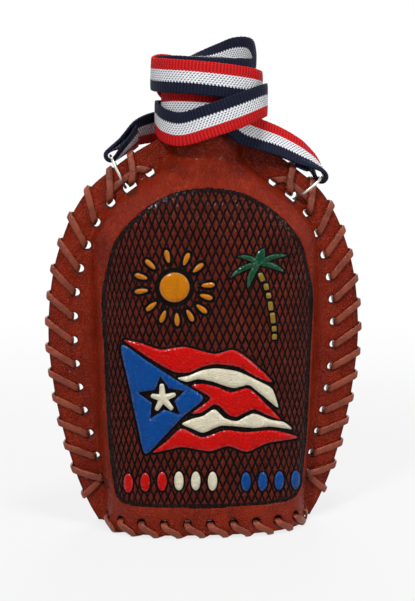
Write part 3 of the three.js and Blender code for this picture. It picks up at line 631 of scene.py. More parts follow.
def shell_between(name, outer, inner, rows, columns):
    """A closed sheet: a fine grid outside, some rows and columns of another inside, joined at the edges."""
    inner = inner[rows][:, columns]
    high, wide = outer.shape[:2]
    start, inner_high, inner_wide = high * wide, len(rows), len(columns)
    faces = grid_faces(high, wide, 0) + grid_faces(inner_high, inner_wide, start, (0, 3, 2, 1))

    def close(picks, outer_first, outer_step, inner_first, inner_step):
        for k, (first, last) in enumerate(zip(picks, picks[1:])):
            faces.append([outer_first + i * outer_step for i in range(first, last + 1)]
                         + [start + inner_first + j * inner_step for j in (k + 1, k)])

    close(columns, 0, 1, 0, 1)
    close(columns, (high - 1) * wide, 1, (inner_high - 1) * inner_wide, 1)
    close(rows, 0, wide, 0, inner_wide)
    close(rows, wide - 1, wide, inner_wide - 1, inner_wide)
    return make_piece(name, np.concatenate([outer.reshape(-1, 3), inner.reshape(-1, 3)]), faces)


def press_picture(outer):
    """The outer face with the tooling's relief along its normals."""
    normal = np.cross(np.gradient(outer, axis=1), np.gradient(outer, axis=0))
    normal /= np.maximum(np.linalg.norm(normal, axis=2), 1e-9)[..., None]
    normal *= np.where(normal[..., 1:2] > 0, -1, 1)
    flat = outer.reshape(-1, 3)
    relief = tooling(on_picture_plane(flat))["height"] * (flat[:, 1] < front_of_flange)
    return outer + normal * relief.reshape(outer.shape[:2])[..., None]


def base_hole_places(facing):
    """The base holes on the outer face of the moulded wall, as (place, way out)."""
    walls = [wall_at(base_hole_length(i), facing) for i in range(base_holes)]
    return [(place + [0, 0, base_hole_height], out) for place, out in walls]


def drill_cover(piece, facing):
    drills = [drill(radius, 12, place, (0, 1, 0)) for place, radius in side_hole_places()]
    for place, out in base_hole_places(facing):
        drills.append(drill(hole_radius, leather * 4, place - out * leather / 2, out))
    cut_holes(piece, drills)


def give_wear(piece, facing, places):
    """Marks the cut leather round the holes and along the edges."""
    near_hole = np.full(len(places), 9.0)
    for hole, radius in side_hole_places():
        near_hole = np.minimum(near_hole, np.hypot(*(places - hole)[:, [0, 2]].T) - radius)
    for hole, _ in base_hole_places(facing):
        near_hole = np.minimum(near_hole, np.linalg.norm(places - hole, axis=1) - hole_radius)
    edge_table = np.array([[z, flange_edge(z)] for z in np.linspace(rim_lift, leather_top, 300)])
    to_edge = np.interp(places[:, 2], edge_table[:, 0], edge_table[:, 1]) - np.abs(places[:, 0])
    worn = [1 - ease(0.0, 1.1, near_hole), 1 - ease(0.1, 1.3, to_edge),
            1 - ease(0.2, 1.6, leather_top - places[:, 2])]
    give_numbers(piece, "cut_edge", np.max(worn, axis=0))


def give_picture(piece, places, normals):
    """The distances, mesh lines and paint that the tooled leather's finish draws with."""
    front = (normals[:, 1] < -0.05) & (places[:, 1] < front_of_flange)
    made = tooling(on_picture_plane(places))
    for key in ("shape_gap", "groove_gap", "arch_gap"):
        give_numbers(piece, key, np.where(front, made[key], picture_reach))
    give_numbers(piece, "mesh_rising", made["rising"])
    give_numbers(piece, "mesh_falling", made["falling"])
    paint = np.column_stack([made["paint"], np.ones(len(places))]).astype("f")
    piece.data.attributes.new("paint", "FLOAT_COLOR", "POINT").data.foreach_set("color", paint.ravel())


def cover(name, facing, tooled):
    """A leather cover with its holes, its outer face fine enough for the tooling."""
    fine = (0.42 if tooled else 1.3) * 1
    body_share, across = 0.77, int(45 / fine)
    shares = np.concatenate([np.linspace(0, body_share, across),
                             np.linspace(body_share, 1, int(across * 0.22))[1:]])
    heights = np.concatenate([np.arange(rim_lift, 10, fine * 2), np.arange(10, 143, fine),
                              np.arange(143, leather_top - 0.2, fine * 2), [leather_top]])

    def grid(face):
        rows = []
        for z in heights:
            half = half_section(z, face, shares)
            row = np.concatenate([half[1:][::-1] * [-1, 1], half])
            rows.append(np.column_stack([row[:, 0], row[:, 1] * facing, np.full(len(row), z)]))
        return np.asarray(rows)

    outer = press_picture(grid("outer")) if tooled else grid("outer")
    rows, columns = (np.unique(np.linspace(0, count - 1, kept).round().astype(int))
                     for count, kept in zip(outer.shape, (40, 61)))
    piece = shell_between(name, outer, grid("inner"), rows, columns)
    drill_cover(piece, facing)
    places, normals = vertices_of(piece)
    give_wear(piece, facing, places)
    if tooled:
        give_picture(piece, places, normals)
    return piece


def base_cover():
    """The base plate: an arched underside, a bevelled edge and a bed for the bottle's heel."""
    section = bottle_section(rim_lift)
    rim = cover_clearance - fit_gap
    angle = full_turn(180)

    def ring(inset, z):
        x, y = on_section(section, angle, rim - inset)
        return np.column_stack([x, y, np.full(len(x), z)])

    shelf = rim_lift + leather
    rise = [ring(base_flat_inset - (base_flat_inset - base_rise_inset) * t, rim_lift * (3 * t**2 - 2 * t**3))
            for t in np.linspace(0, 1, 6)]
    bevel = [ring(0.35, rim_lift), ring(0.1, rim_lift + 0.1), ring(0, rim_lift + 0.35), ring(0, shelf - 0.35),
             ring(0.1, shelf - 0.1), ring(0.35, shelf)]
    bed = [ring(base_shelf_inset + (base_bed_inset - base_shelf_inset) * t,
                shelf - (shelf - leather) * (3 * t**2 - 2 * t**3)) for t in np.linspace(0, 1, 6)]
    piece = from_rings("leather_base", rise + bevel + bed)
    drills = []
    for place, out in base_hole_places(-1) + base_hole_places(1):
        centre = place - out * (leather + fit_gap + base_hole_inset)
        centre[2] = rim_lift + leather / 2
        drills.append(drill(base_hole_radius, leather * 2, centre, (0, 0, 1)))
    cut_holes(piece, drills)
    places, _ = vertices_of(piece)
    give_numbers(piece, "cut_edge", np.zeros(len(places)))
    return piece


# ---------------------------------------------------------------- laces


def through_points(points, step):
    """A centripetal curve through points, as places with their share of the way, about a step apart."""
    p = np.asarray(points, dtype=float)
    p = np.concatenate([[2 * p[0] - p[1]], p, [2 * p[-1] - p[-2]]])
    places, ways = [], []
    for i in range(len(p) - 3):
        a, b, c, d = p[i:i + 4]
        d0, d1, d2 = (max(np.linalg.norm(y - x) ** 0.5, 1e-3) for x, y in ((a, b), (b, c), (c, d)))
        t1 = ((b - a) / d0 - (c - a) / (d0 + d1) + (c - b) / d1) * d1
        t2 = ((c - b) / d1 - (d - b) / (d1 + d2) + (d - c) / d2) * d1
        count = max(1, int(round(np.linalg.norm(c - b) / step)))
        for t in np.arange(count) / count:
            places.append(b + t1 * t + (-3 * b + 3 * c - 2 * t1 - t2) * t**2
                          + (2 * b - 2 * c + t1 + t2) * t**3)
            ways.append(i + t)
    places.append(p[-2])
    ways.append(len(p) - 3)
    return np.array(places), np.array(ways)


def directions_between(given, ways):
    """The given directions, one for each point of a route, blended along the ways between them."""
    given = np.asarray(given, dtype=float)
    return np.stack([np.interp(ways, np.arange(len(given)), given[:, k]) for k in range(3)], axis=1)


def lengths_along(places):
    return np.concatenate([[0], np.cumsum(np.linalg.norm(np.diff(places, axis=0), axis=1))])


def normalised(v):
    return v / np.maximum(np.linalg.norm(v, axis=1), 1e-9)[:, None]


def thong(stations):
    """A leather thong through stations of (place, face normal), as the rings of one closed band."""
    places, ways = through_points([at for at, _ in stations], thong_step)
    normals = normalised(directions_between([normal for _, normal in stations], ways))
    for _ in range(2):
        normals[1:-1] = normalised(normals[:-2] + 2 * normals[1:-1] + normals[2:])
    along = normalised(np.gradient(places, axis=0))
    across = normalised(np.cross(along, normals))
    normals = np.cross(across, along)
    angle = full_turn(thong_corners)
    bend = lambda value, power: np.sign(value) * np.abs(value) ** power
    wide = bend(np.cos(angle), 0.62) * thong_width / 2
    thick = bend(np.sin(angle), 0.75) * thong_thickness / 2
    length = lengths_along(places)
    swell = 1 + 0.035 * np.sin(length * 0.9) + 0.025 * np.sin(length * 2.3 + 1)
    rings = (places[:, None] + across[:, None] * wide[None, :, None] * swell[:, None, None]
             + normals[:, None] * thick[None, :, None])
    return rings, length


def side_thong_stations(side):
    """Whip lacing up a side seam: down through a hole behind, over the edge, across the front to the next."""
    lengths = hole_lengths(side)
    pitch = lengths[1] - lengths[0]
    face_lift = seam_gap / 2 + leather + fit_gap + lace_thickness / 2
    stacked_lift, lip_lift = face_lift + lace_stack, seam_gap / 2 + leather + 0.15
    edge_set_out, lip_out, beside_ring = fit_gap + lace_thickness / 2 + 0.25, 0.8, 1.2
    stations = []

    def put(s, out, y, normal_out, normal_y):
        hole, way_out, _ = seam_at(s, side)
        place = hole + way_out * out
        place[1] = y
        stations.append((place, unit(way_out * normal_out + np.array([0, normal_y, 0]))))

    def wrap(start, end, rise=lace_rise, start_out=lace_set_out, end_out=lace_set_out,
             shift=0, end_shift=0, lifted=False):
        first = start + shift
        reach = min(rise * pitch, seam_lengths[-1] - start - lace_width / 2)
        put(first, start_out, -lip_lift, -1, 0 if lifted else -1)
        put(first + reach * 0.1, start_out + lip_out, -(stacked_lift if lifted else face_lift), 0, -1)
        if lifted:
            put(first + reach * 0.5, hole_inset * 0.52, -stacked_lift, 0, -1)
        put(start + reach * 0.95, hole_inset + fit_gap, -face_lift, 0, -1)
        put(start + reach, hole_inset + edge_set_out, -leather, 1, -0.3)
        put(start + reach, hole_inset + edge_set_out, leather, 1, 0.3)
        put(start + reach + (end - start - reach) * 0.05, hole_inset + fit_gap, face_lift, 0, 1)
        over = doubled_lift if end_out == doubled_inner else 0
        put(end + end_shift, end_out + lip_out, face_lift + over, 0, 1)
        put(end + end_shift, end_out, lip_lift, -1, 1)

    put(lengths[0], doubled_outer, leather / 2, -1, 0)
    wrap(lengths[0], lengths[0], rise=doubled_drop, start_out=doubled_outer, end_out=doubled_inner)
    for i in range(side_holes - 1):
        wrap(lengths[i], lengths[i + 1], start_out=doubled_inner if i == 0 else lace_set_out,
             end_out=last_set_out if i == side_holes - 2 else lace_set_out,
             shift=beside_ring * (i == ring_index), end_shift=beside_ring * (i + 1 == ring_index),
             lifted=i == 0 or i > side_holes - 4)
    last = lengths[-1]
    put(last, last_set_out, -lip_lift, -1, -1)
    put(last - pitch * 0.1, last_set_out + lip_out, -face_lift, 0, -1)
    tail_start, tail_end = last - pitch * 0.32, lengths[side_holes - 3] + pitch * 0.2
    for k in range(7):
        put(tail_start + (tail_end - tail_start) * k / 6, hole_inset - tail_inset, -face_lift, 0, -1)
    return stations


def base_thong_stations(facing):
    """Whip lacing of the base: up through the plate, out of the wall, down and under to the next."""
    stations = []
    under = rim_lift - fit_gap - lace_thickness / 2
    outside = fit_gap + lace_thickness / 2 + 0.05
    depth = leather + fit_gap + base_hole_inset

    def put(s, out, z, normal_out, normal_up):
        place, way_out = wall_at(s, facing)
        at = place + way_out * out + np.array([0, 0, z])
        stations.append((at, unit(way_out * normal_out + np.array([0, 0, normal_up]))))

    def come_up(s):
        put(s, -depth + 0.2, rim_lift - 0.1, -1, -1)
        put(s, -depth + 0.4, rim_lift + leather + 0.1, -1, 0.3)
        put(s, -leather - 1.4, base_hole_height - 1, -1, 1)
        put(s, -leather - 0.3, base_hole_height - 0.2, -0.3, 1)

    come_up(base_hole_length(0))
    for i in range(base_holes):
        s = base_hole_length(i)
        put(s, 0.2, base_hole_height - 0.4, 1, 1)
        put(s + base_hole_pitch * 0.06, outside + 0.1, base_hole_height - 1.3, 1, 0)
        is_last = i == base_holes - 1
        advance = 0.62 * 0.35 if is_last else 0.62
        put(s + base_hole_pitch * advance, outside, rim_lift + 0.2, 1, -0.2)
        put(s + base_hole_pitch * (advance + 0.02), 0.5, rim_lift - 0.55, 1, -1)
        put(s + base_hole_pitch * (advance + 0.04), -0.5, under, 0.1, -1)
        if is_last:
            put(s + base_hole_pitch * (advance + 0.06), -leather, under, 0, -1)
            break
        put(s + base_hole_pitch * 0.95, -depth + 1.2, under, 0, -1)
        come_up(s + base_hole_pitch)
    return stations


def laced_thong(name, stations):
    rings, length = thong(stations)
    piece = from_rings(name, rings)
    give_numbers(piece, "run", np.repeat(length, rings.shape[1]))
    return piece


# ---------------------------------------------------------------- rings and strap


def ring_frame(side):
    """A ring's centre, the way from the hole to it and the ring's axis."""
    hole, out, along = seam_at(hole_lengths(side)[ring_index], side)
    c, s = math.cos(ring_lean[side]), math.sin(ring_lean[side])
    away, axis = out * c + along * s, along * c - out * s
    return hole - axis * ring_drop + away * (ring_radius + ring_set_out), away, axis


def jump_ring(side):
    """A split ring of wire, its joint turned up into the strap's loop."""
    centre, away, axis = ring_frame(side)
    other = np.cross(axis, away)
    turns = np.linspace(math.radians(41.2), math.radians(398.8), 97)
    corner = full_turn(16)
    rings = []
    for turn in turns:
        radial = away * math.cos(turn) + other * math.sin(turn)
        rings.append(centre + radial * ring_radius
                     + (np.cos(corner)[:, None] * radial + np.sin(corner)[:, None] * axis) * ring_wire / 2)
    return from_rings(side + "_split_ring", rings, body=side + "_ring")


# The strap's way round the neck and cap: turn in degrees, layers out, height in strap widths, roll in degrees
winding_radii, winding_shift, layer_pitch = (18.2, 16.5), 1.4, 1.75
winding_shares = [
    (-48, 0, 0.197, 0), (-30, 0, 0.441, 0), (-10, 0, 0.732, 0), (15, 0, 0.803, 0), (50, 0, 0.843, 0),
    (90, 0, 0.858, 0), (135, 0, 0.969, 0), (180, 0, 1.126, 0), (225, 0.2, 1.283, 0),
    (252, 1.3, 1.394, 0), (272, 1.8, 1.457, 0), (310, 2.2, 1.504, 0), (345, 2.2, 1.583, 0),
    (380, 2.2, 1.693, 0), (415, 2.2, 1.787, 0), (450, 2.3, 1.906, 0), (478, 3, 2.087, -12),
    (498, 3.6, 2.213, -45), (515, 3.9, 2.307, -90), (532, 3.2, 2.402, -130), (554, 1.9, 2.52, -165),
    (578, 1, 2.669, -180), (602, 0.5, 2.6, 180), (630, 0.1, 2.2, 180), (655, 0.6, 1.86, 180),
    (685, 1.1, 1.787, 180), (730, 1.1, 1.787, 180), (770, 1.1, 1.882, 180), (805, 1.1, 1.913, 180),
    (835, 1.2, 1.756, 180), (865, 1.2, 1.425, 180), (890, 1.2, 1.079, 180), (908, 1.3, 0.906, 180),
    (918, 2, 0.874, 180), (908, 2.8, 0.843, 180), (885, 2.6, 0.756, 180), (860, 2.4, 0.669, 180),
    (835, 2.3, 0.622, 180), (808, 1.2, 0.52, 180), (780, 1.3, 0.29, 180), (752, 2, 0.16, 180),
    (720, 3.2, 0.42, 180), (690, 3.5, 0.76, 180), (662, 3.4, 1.031, 180), (630, 2.9, 1.11, 180),
    (600, 2.9, 0.984, 180), (576, 3.7, 0.811, 180), (548, 4.3, 0.606, 180), (520, 4.4, 0.402, 180)]
# Its ends: along the ring's axis, out and back from the wire, way across, half width, all in strap widths
tail_gaps = (2.9, 1.95)
end_shares = {
    "right": [(0.472, 0.134, -0.063, (0.1, 0.85, 0.5), 0.43), (1.024, -0.063, -0.189, (0.2, 0.65, 0.73), 0.5),
              (1.732, -0.409, -0.409, (0.25, 0.5, 0.83), 0.5)],
    "left": [(0.472, 0.22, 0.055, (0, 0.9, -0.45), 0.43), (0.945, 0.331, 0.362, (0, 0.7, -0.7), 0.5),
             (1.575, 0.268, 0.992, (-0.15, 0.22, -0.95), 0.5)]}


def winding_station(turn, layer, height, roll):
    """The strap's middle, its way across and its half width at one place of the winding."""
    angle, roll = math.radians(turn), math.radians(roll)
    wide, deep = (radius + layer * layer_pitch for radius in winding_radii)
    place = np.array([winding_shift - wide * math.sin(angle), -deep * math.cos(angle),
                      leather_top + height * strap_width])
    radial = np.array([-math.sin(angle), -math.cos(angle), 0])
    return place, np.array([0, 0, math.cos(roll)]) + radial * math.sin(roll), strap_width / 2


def strap_end(side):
    """The strap's end at a ring: its run, the loop round the wire and the tail stitched back along it."""
    centre, away, axis = ring_frame(side)
    wire, gathered, back = centre + away * ring_radius, gathered_width / 2, np.array([0, 1.0, 0])
    run = [(wire + away * loop_radius, back, gathered)]
    for along_axis, out, y, across, half in end_shares[side]:
        place = wire + (axis * along_axis + away * out + back * y) * strap_width
        run.append((place, unit(np.array(across, dtype=float)), half * strap_width))
    loop = [(wire - axis * math.sin(t) * loop_radius + away * math.cos(t) * loop_radius, back, gathered)
            for t in np.radians([45, 90, 135, 180])]
    frames = []
    for i, (place, across, half) in enumerate(run):
        before, after = run[max(i - 1, 0)][0], run[min(i + 1, len(run) - 1)][0]
        along = unit(after - before)
        square = unit(across - along * (across @ along))
        frames.append((place, across, np.cross(square, along), half))
    inward = np.sign(frames[0][2] @ away)
    tail = [(place - normal * apart * inward, across, half)
            for (place, across, normal, half), apart in zip(frames[1:3], tail_gaps)]
    return run[::-1] + loop + tail, frames, inward


def strap_route():
    return (strap_end("right")[0][::-1] + [winding_station(*row) for row in winding_shares]
            + strap_end("left")[0])


def wound_strap():
    """The whole strap as one band, with its length and its area."""
    route = strap_route()
    places, ways = through_points([place for place, _, _ in route], 0.75)
    across = directions_between([across for _, across, _ in route], ways)
    half = np.interp(ways, np.arange(len(route)), [half for _, _, half in route])
    along = normalised(np.gradient(places, axis=0))
    across = normalised(across - along * np.sum(across * along, axis=1)[:, None])
    for _ in range(3):
        across[1:-1] = normalised(across[:-2] + 2 * across[1:-1] + across[2:])
    across = normalised(across - along * np.sum(across * along, axis=1)[:, None])
    normals = np.cross(across, along)
    length = lengths_along(places)
    half = half * (1 + 0.012 * np.sin(length * 2 * math.pi / rib_pitch) + 0.01 * np.sin(length * 0.21))
    column = np.linspace(-1, 1, 25)
    gathered = 1 - ease(0.7, 0.98, half / (strap_width / 2))
    thick = strap_thickness / 2 * (1 - 0.35 * np.abs(column) ** 6)
    folds = 0.28 * np.sin(column * 2.5 * math.pi)
    rings = []
    for place, way, normal, wide, gather in zip(places, across, normals, half, gathered):
        middle, wave = place + way * (column * wide)[:, None], folds * gather
        top, low = (middle + normal * lift[:, None] for lift in (thick + wave, wave - thick))
        rings.append(np.concatenate([top, low[::-1]]))
    piece = from_rings("wound_strap", rings)
    give_numbers(piece, "strap_across", np.tile(np.concatenate([column, column[::-1]]), len(rings)))
    give_numbers(piece, "strap_run", np.repeat(length, 50))
    return piece, length[-1], float(np.sum((half[1:] + half[:-1]) * np.diff(length)))


def strap_stitches():
    """Box stitching where the strap's tails lie on its runs."""
    parts = []
    corner = full_turn(8)
    for side in sides:
        _, frames, inward = strap_end(side)
        (p0, a0, n0, h0), (p1, a1, n1, h1) = frames[1], frames[2]
        for row in range(2):
            for k in range(7):
                t = 0.12 + 0.8 * (k + 0.5) / 7
                place, across = p0 + (p1 - p0) * t, unit(a0 + (a1 - a0) * t)
                normal, half = unit(n0 + (n1 - n0) * t), h0 + (h1 - h0) * t
                along = unit(p1 - p0)
                middle = place + across * half * (0.62 if row else -0.62) + normal * inward * 0.72
                bow = []
                for share in np.linspace(-1, 1, 7):
                    spine = middle + along * share * 0.42 - normal * inward * 0.3 * share**2
                    bow.append(spine + (np.cos(corner)[:, None] * across
                                        + np.sin(corner)[:, None] * normal) * 0.16)
                parts.append(bow)
    points, faces = joined_mesh(parts)
    return make_piece("strap_stitches", points, faces)


# ---------------------------------------------------------------- glass, cap and liner

cap_top = cap_bottom + cap_height
liner_top = cap_top - cap_top_thickness - 0.3
lip_height = liner_top - 1.0 - fit_gap
bead_top = cap_bottom - 0.6
thread_start = cap_bottom + 2.3


def thread_rings(root, crest, start):
    """A thread's ridge from its root to its crest, fading out at both ends."""
    rings, steps = [], 64
    for k in range(int(thread_turns * steps) + 1):
        turn = k / steps
        fade = min(1, k / 6, (thread_turns * steps - k) / 6)
        top = root + (crest - root) * max(fade, 0.15)
        middle, angle = start + turn * thread_pitch, 2 * math.pi * turn
        rings.append([(radius * math.cos(angle), radius * math.sin(angle), middle + dz)
                      for radius, dz in ((root, -0.95), (top, -0.5), (top, 0.5), (root, 0.95))])
    return rings


def glass_flask():
    """The bottle from its heel up to the lip and down again inside, with the neck's thread."""
    angle = full_turn(96)
    floor = leather + fit_gap
    rings = []

    def ring(section, grow, z):
        x, y = on_section(section, angle, grow)
        rings.append(np.column_stack([x, y, np.full(len(x), z)]))

    heel = np.radians(np.linspace(0, 90, 9))
    heights = np.concatenate([np.linspace(16, shoulder_start, 16), shoulder_start
                              + shoulder_height * np.linspace(0.06, 1, 24)])
    for turn in heel:
        z = floor + heel_radius * (1 - math.cos(turn))
        ring(bottle_section(z), -heel_radius * (1 - math.sin(turn)), z)
    for z in heights:
        ring(bottle_section(z), 0, z)
    neck = (neck_radius, neck_radius, 2)
    bead = bead_top - bead_height
    mouth = [(neck_radius, bead - 1), (neck_radius + 0.4, bead), (bead_radius - 0.5, bead),
             (bead_radius, bead + 0.6), (bead_radius, bead_top - 0.6), (bead_radius - 0.5, bead_top),
             (finish_root_radius, bead_top), (finish_root_radius, lip_height - 0.6),
             (finish_root_radius - 0.6, lip_height), (neck_bore + 0.5, lip_height),
             (neck_bore, lip_height - 0.5), (neck_bore, shoulder_start + shoulder_height)]
    for radius, z in mouth:
        ring(neck, radius - neck_radius, z)
    for z in heights[:-1][::-1]:
        ring(bottle_section(z), -glass_wall, z)
    inner = heel_radius - glass_wall
    for turn in heel[::-1]:
        z = floor + glass_wall + inner * (1 - math.cos(turn))
        ring(bottle_section(z), -inner * (1 - math.sin(turn)) - glass_wall, z)
    points, faces = joined_mesh([rings])
    ridge = np.asarray(thread_rings(finish_root_radius - 0.15, thread_radius, thread_start))
    faces += ring_faces(ridge.shape[0], 4, first=len(points))
    return make_piece("glass_flask", np.concatenate([points, ridge.reshape(-1, 3)]), faces)


def knurled_cap():
    """A turned cap with a ribbed grip, a plain band at its foot and a shallow dish on its top."""
    angle = full_turn(240)
    ribs = 0.5 + 0.5 * np.cos(angle * 60)
    under = cap_top - cap_top_thickness
    bore = thread_radius + 0.3
    profile = [(0.4, cap_top - 0.35, 0), (9.5, cap_top - 0.35, 0), (10.2, cap_top - 0.1, 0),
               (10.8, cap_top, 0), (cap_radius - 1.3, cap_top, 0), (cap_radius - 0.5, cap_top - 0.35, 0),
               (cap_radius, cap_top - 1.2, 0)]
    profile += [(cap_radius, z, 0.35 * min(1, (cap_top - 1.2 - z) / 0.9, (z - cap_bottom - 3) / 0.9))
                for z in np.linspace(cap_top - 1.5, cap_bottom + 3.1, 18)]
    profile += [(cap_radius, cap_bottom + 2.8, 0), (cap_radius, cap_bottom + 0.3, 0),
                (cap_radius - 0.3, cap_bottom, 0), (bore + 0.2, cap_bottom, 0), (bore, cap_bottom + 0.2, 0),
                (bore, under, 0), (0.4, under, 0)]
    rings = []
    for radius, z, depth in profile:
        r = radius - depth * (1 - ribs)
        rings.append(np.column_stack([r * np.cos(angle), r * np.sin(angle), np.full(len(angle), z)]))
    points, faces = joined_mesh([rings])
    ridge = np.asarray(thread_rings(bore + 0.15, bore - 0.75, thread_start + thread_pitch / 2))
    faces += ring_faces(ridge.shape[0], 4, first=len(points))
    piece = make_piece("ribbed_cap", np.concatenate([points, ridge.reshape(-1, 3)]), faces, body="cap")
    for edge in piece.data.edges:
        low, high = (piece.data.vertices[i] for i in edge.vertices)
        if abs(low.normal @ high.normal) < 0.6:
            edge.use_edge_sharp = True
    return piece


# ---------------------------------------------------------------- materials


class Value:
    """A number, vector or colour on its way through a node tree; arithmetic on numbers makes maths nodes."""

    def __init__(self, tree, socket):
        self.tree, self.socket = tree, socket

    def __add__(self, other):
        return calc("ADD", self, other)

    def __mul__(self, other):
        return calc("MULTIPLY", self, other)

    def __rsub__(self, other):
        return calc("SUBTRACT", other, self)

    def __rtruediv__(self, other):
        return calc("DIVIDE", other, self)


def tree_of(*values):
    return next(value.tree for value in values if isinstance(value, Value))


def place_node(tree, kind, **settings):
    node = tree.nodes.new("ShaderNode" + kind)
    for key, value in settings.items():
        setattr(node, key, value)
    return node


def feed(target, value):
    if isinstance(value, Value):
        value.tree.links.new(value.socket, target)
    else:
        target.default_value = value


def feed_named(node, values):
    """Feeds the inputs that the values are named after, with spaces for the underscores."""
    for label, value in values.items():
        feed(node.inputs[label.replace("_", " ")], value)


def calc(operation, *values):
    tree = tree_of(*values)
    node = place_node(tree, "Math", operation=operation)
    for target, value in zip(node.inputs, values):
        feed(target, value)
    return Value(tree, node.outputs[0])


def spread(value, low, high, to_low=0.0, to_high=1.0):
    """The value eased from to_low at low to to_high at high."""
    node = place_node(value.tree, "MapRange", interpolation_type="SMOOTHSTEP")
    feed_named(node, {"Value": value, "From Min": low, "From Max": high, "To Min": to_low, "To Max": to_high})
    return Value(value.tree, node.outputs[0])


def blend_colours(share, first, second, blend_type="MIX"):
    tree = tree_of(share, first, second)
    node = place_node(tree, "Mix", data_type="RGBA", blend_type=blend_type)
    for k, value in ((0, share), (6, first), (7, second)):
        feed(node.inputs[k], value)
    return Value(tree, node.outputs[2])


def blend_numbers(share, first, second):
    node = place_node(share.tree, "Mix", data_type="FLOAT")
    for k, value in ((0, share), (2, first), (3, second)):
        feed(node.inputs[k], value)
    return Value(share.tree, node.outputs[0])


def object_place(tree):
    return Value(tree, place_node(tree, "TexCoord").outputs["Object"])


def millimetres(tree, stretch=(1, 1, 1)):
    """The place on the piece in millimetres, stretched along its axes."""
    node = place_node(tree, "VectorMath", operation="MULTIPLY")
    feed(node.inputs[0], object_place(tree))
    node.inputs[1].default_value = tuple(k / MM for k in stretch)
    return Value(tree, node.outputs[0])


def combine(x, y=0.0, z=0.0):
    node = place_node(x.tree, "CombineXYZ")
    for target, value in zip(node.inputs, (x, y, z)):
        feed(target, value)
    return Value(x.tree, node.outputs[0])


def noise(place, scale, detail=3.0, roughness=0.55):
    node = place_node(place.tree, "TexNoise")
    feed_named(node, {"Vector": place, "Scale": scale, "Detail": detail, "Roughness": roughness})
    return Value(place.tree, node.outputs["Fac"])


def cells(place, scale, feature="F1"):
    node = place_node(place.tree, "TexVoronoi", feature=feature)
    feed_named(node, {"Vector": place, "Scale": scale})
    return Value(place.tree, node.outputs["Distance"])


def attribute(tree, name, output="Fac"):
    return Value(tree, place_node(tree, "Attribute", attribute_name=name).outputs[output])


def waves(run, period):
    """A wave between 0 and 1 along a run in millimetres."""
    return calc("SINE", run * (2 * math.pi / period)) * 0.5 + 0.5


def tint(r, g, b):
    return (*linear((r, g, b)), 1)


def build_group(name, numbers, build):
    """A node group with named number inputs, and outputs with the names and values that build gives."""
    tree = bpy.data.node_groups.new(name, "ShaderNodeTree")
    for label, value in numbers.items():
        tree.interface.new_socket(label, in_out="INPUT", socket_type="NodeSocketFloat").default_value = value
    given = tree.nodes.new("NodeGroupInput")
    made = build(tree, *(Value(tree, given.outputs[label]) for label in numbers))
    for label in made:
        tree.interface.new_socket(label, in_out="OUTPUT", socket_type="NodeSocketFloat")
    feed_named(tree.nodes.new("NodeGroupOutput"), made)


def hide_grain(tree, grain_size, crease_depth):
    place = millimetres(tree)
    pebble = spread(cells(place, 1 / grain_size, "DISTANCE_TO_EDGE"), 0.0, 0.35)
    creases = spread(noise(place, 0.16, 5.0, 0.62), 0.44, 0.56)
    return {"Height": creases * crease_depth + pebble}


def rubbed_mottle(tree, patch_size, streak_length):
    patches = noise(millimetres(tree), 1 / patch_size, 4.0, 0.6)
    streaks = noise(millimetres(tree, (1, 1, 0.22)), 6 / streak_length, 5.0, 0.65)
    scuffs = noise(millimetres(tree, (0.5, 1, 1)), 1.4, 6.0, 0.7)
    return {"Patches": spread(patches, 0.32, 0.68), "Streaks": spread(streaks, 0.5, 0.72),
            "Scuffs": spread(scuffs, 0.62, 0.72)}


def handling_dust(tree, amount):
    dust = spread(noise(millimetres(tree), 2.6, 5.0, 0.7), 0.6, 0.76) * amount
    film = noise(millimetres(tree), 0.12, 3.0, 0.5)
    return {"Dust": dust, "Roughening": film * amount + dust}


def build_groups():
    """The effects that several finishes share."""
    build_group("hide_grain", {"Grain size": 0.9, "Crease depth": 0.5}, hide_grain)
    build_group("rubbed_mottle", {"Patch size": 14.0, "Streak length": 30.0}, rubbed_mottle)
    build_group("handling_dust", {"Amount": 0.3}, handling_dust)


class Finish:
    """A material with its node tree, its shader and the bumps raised on it so far."""

    def __init__(self, name):
        self.material = bpy.data.materials.new(name)
        self.material.use_nodes = True
        self.tree = self.material.node_tree
        self.shader = self.tree.nodes["Principled BSDF"]
        self.raised = None

    def group(self, name, **numbers):
        node = place_node(self.tree, "Group", node_tree=bpy.data.node_groups[name])
        feed_named(node, numbers)
        return {output.name: Value(self.tree, output) for output in node.outputs}

    def set(self, **values):
        feed_named(self.shader, values)

    def bump(self, height, depth):
        """Raises the surface by a height of 0 to 1, times a depth in millimetres."""
        node = place_node(self.tree, "Bump")
        feed_named(node, {"Distance": depth * MM, "Height": height})
        if self.raised:
            feed(node.inputs["Normal"], self.raised)
        self.raised = Value(self.tree, node.outputs[0])
        self.set(Normal=self.raised)


def hide_finish(name):
    """Glossy red-brown leather, darker where it is cut or rubbed."""
    finish = Finish(name)
    mottle = finish.group("rubbed_mottle", Patch_size=16.0, Streak_length=26.0)
    dust = finish.group("handling_dust", Amount=0.12)
    edge = attribute(finish.tree, "cut_edge")
    colour = blend_colours(mottle["Patches"], tint(116, 27, 7), tint(134, 37, 13))
    colour = blend_colours(mottle["Streaks"] * 0.45, colour, tint(82, 15, 4))
    colour = blend_colours(edge * 0.75, colour, tint(66, 22, 12))
    roughness = spread(mottle["Patches"], 0.0, 1.0, 0.16, 0.26) + dust["Roughening"] * 0.5
    gloss = spread(noise(millimetres(finish.tree), 1.5, 4.0, 0.6), 0.5, 0.66) * 0.55
    return finish, mottle, dust, edge, colour, roughness, gloss


def settle_hide(finish, dust, edge, colour, roughness, gloss):
    finish.set(Base_Color=blend_colours(dust["Dust"] * 0.5, colour, tint(150, 110, 84)),
               Roughness=blend_numbers(edge, roughness, 0.7), Specular_IOR_Level=0.06,
               Coat_Weight=gloss, Coat_Roughness=0.22)
    grain = finish.group("hide_grain", Grain_size=0.75, Crease_depth=0.7)
    finish.bump(grain["Height"], 0.3)
    return finish.material


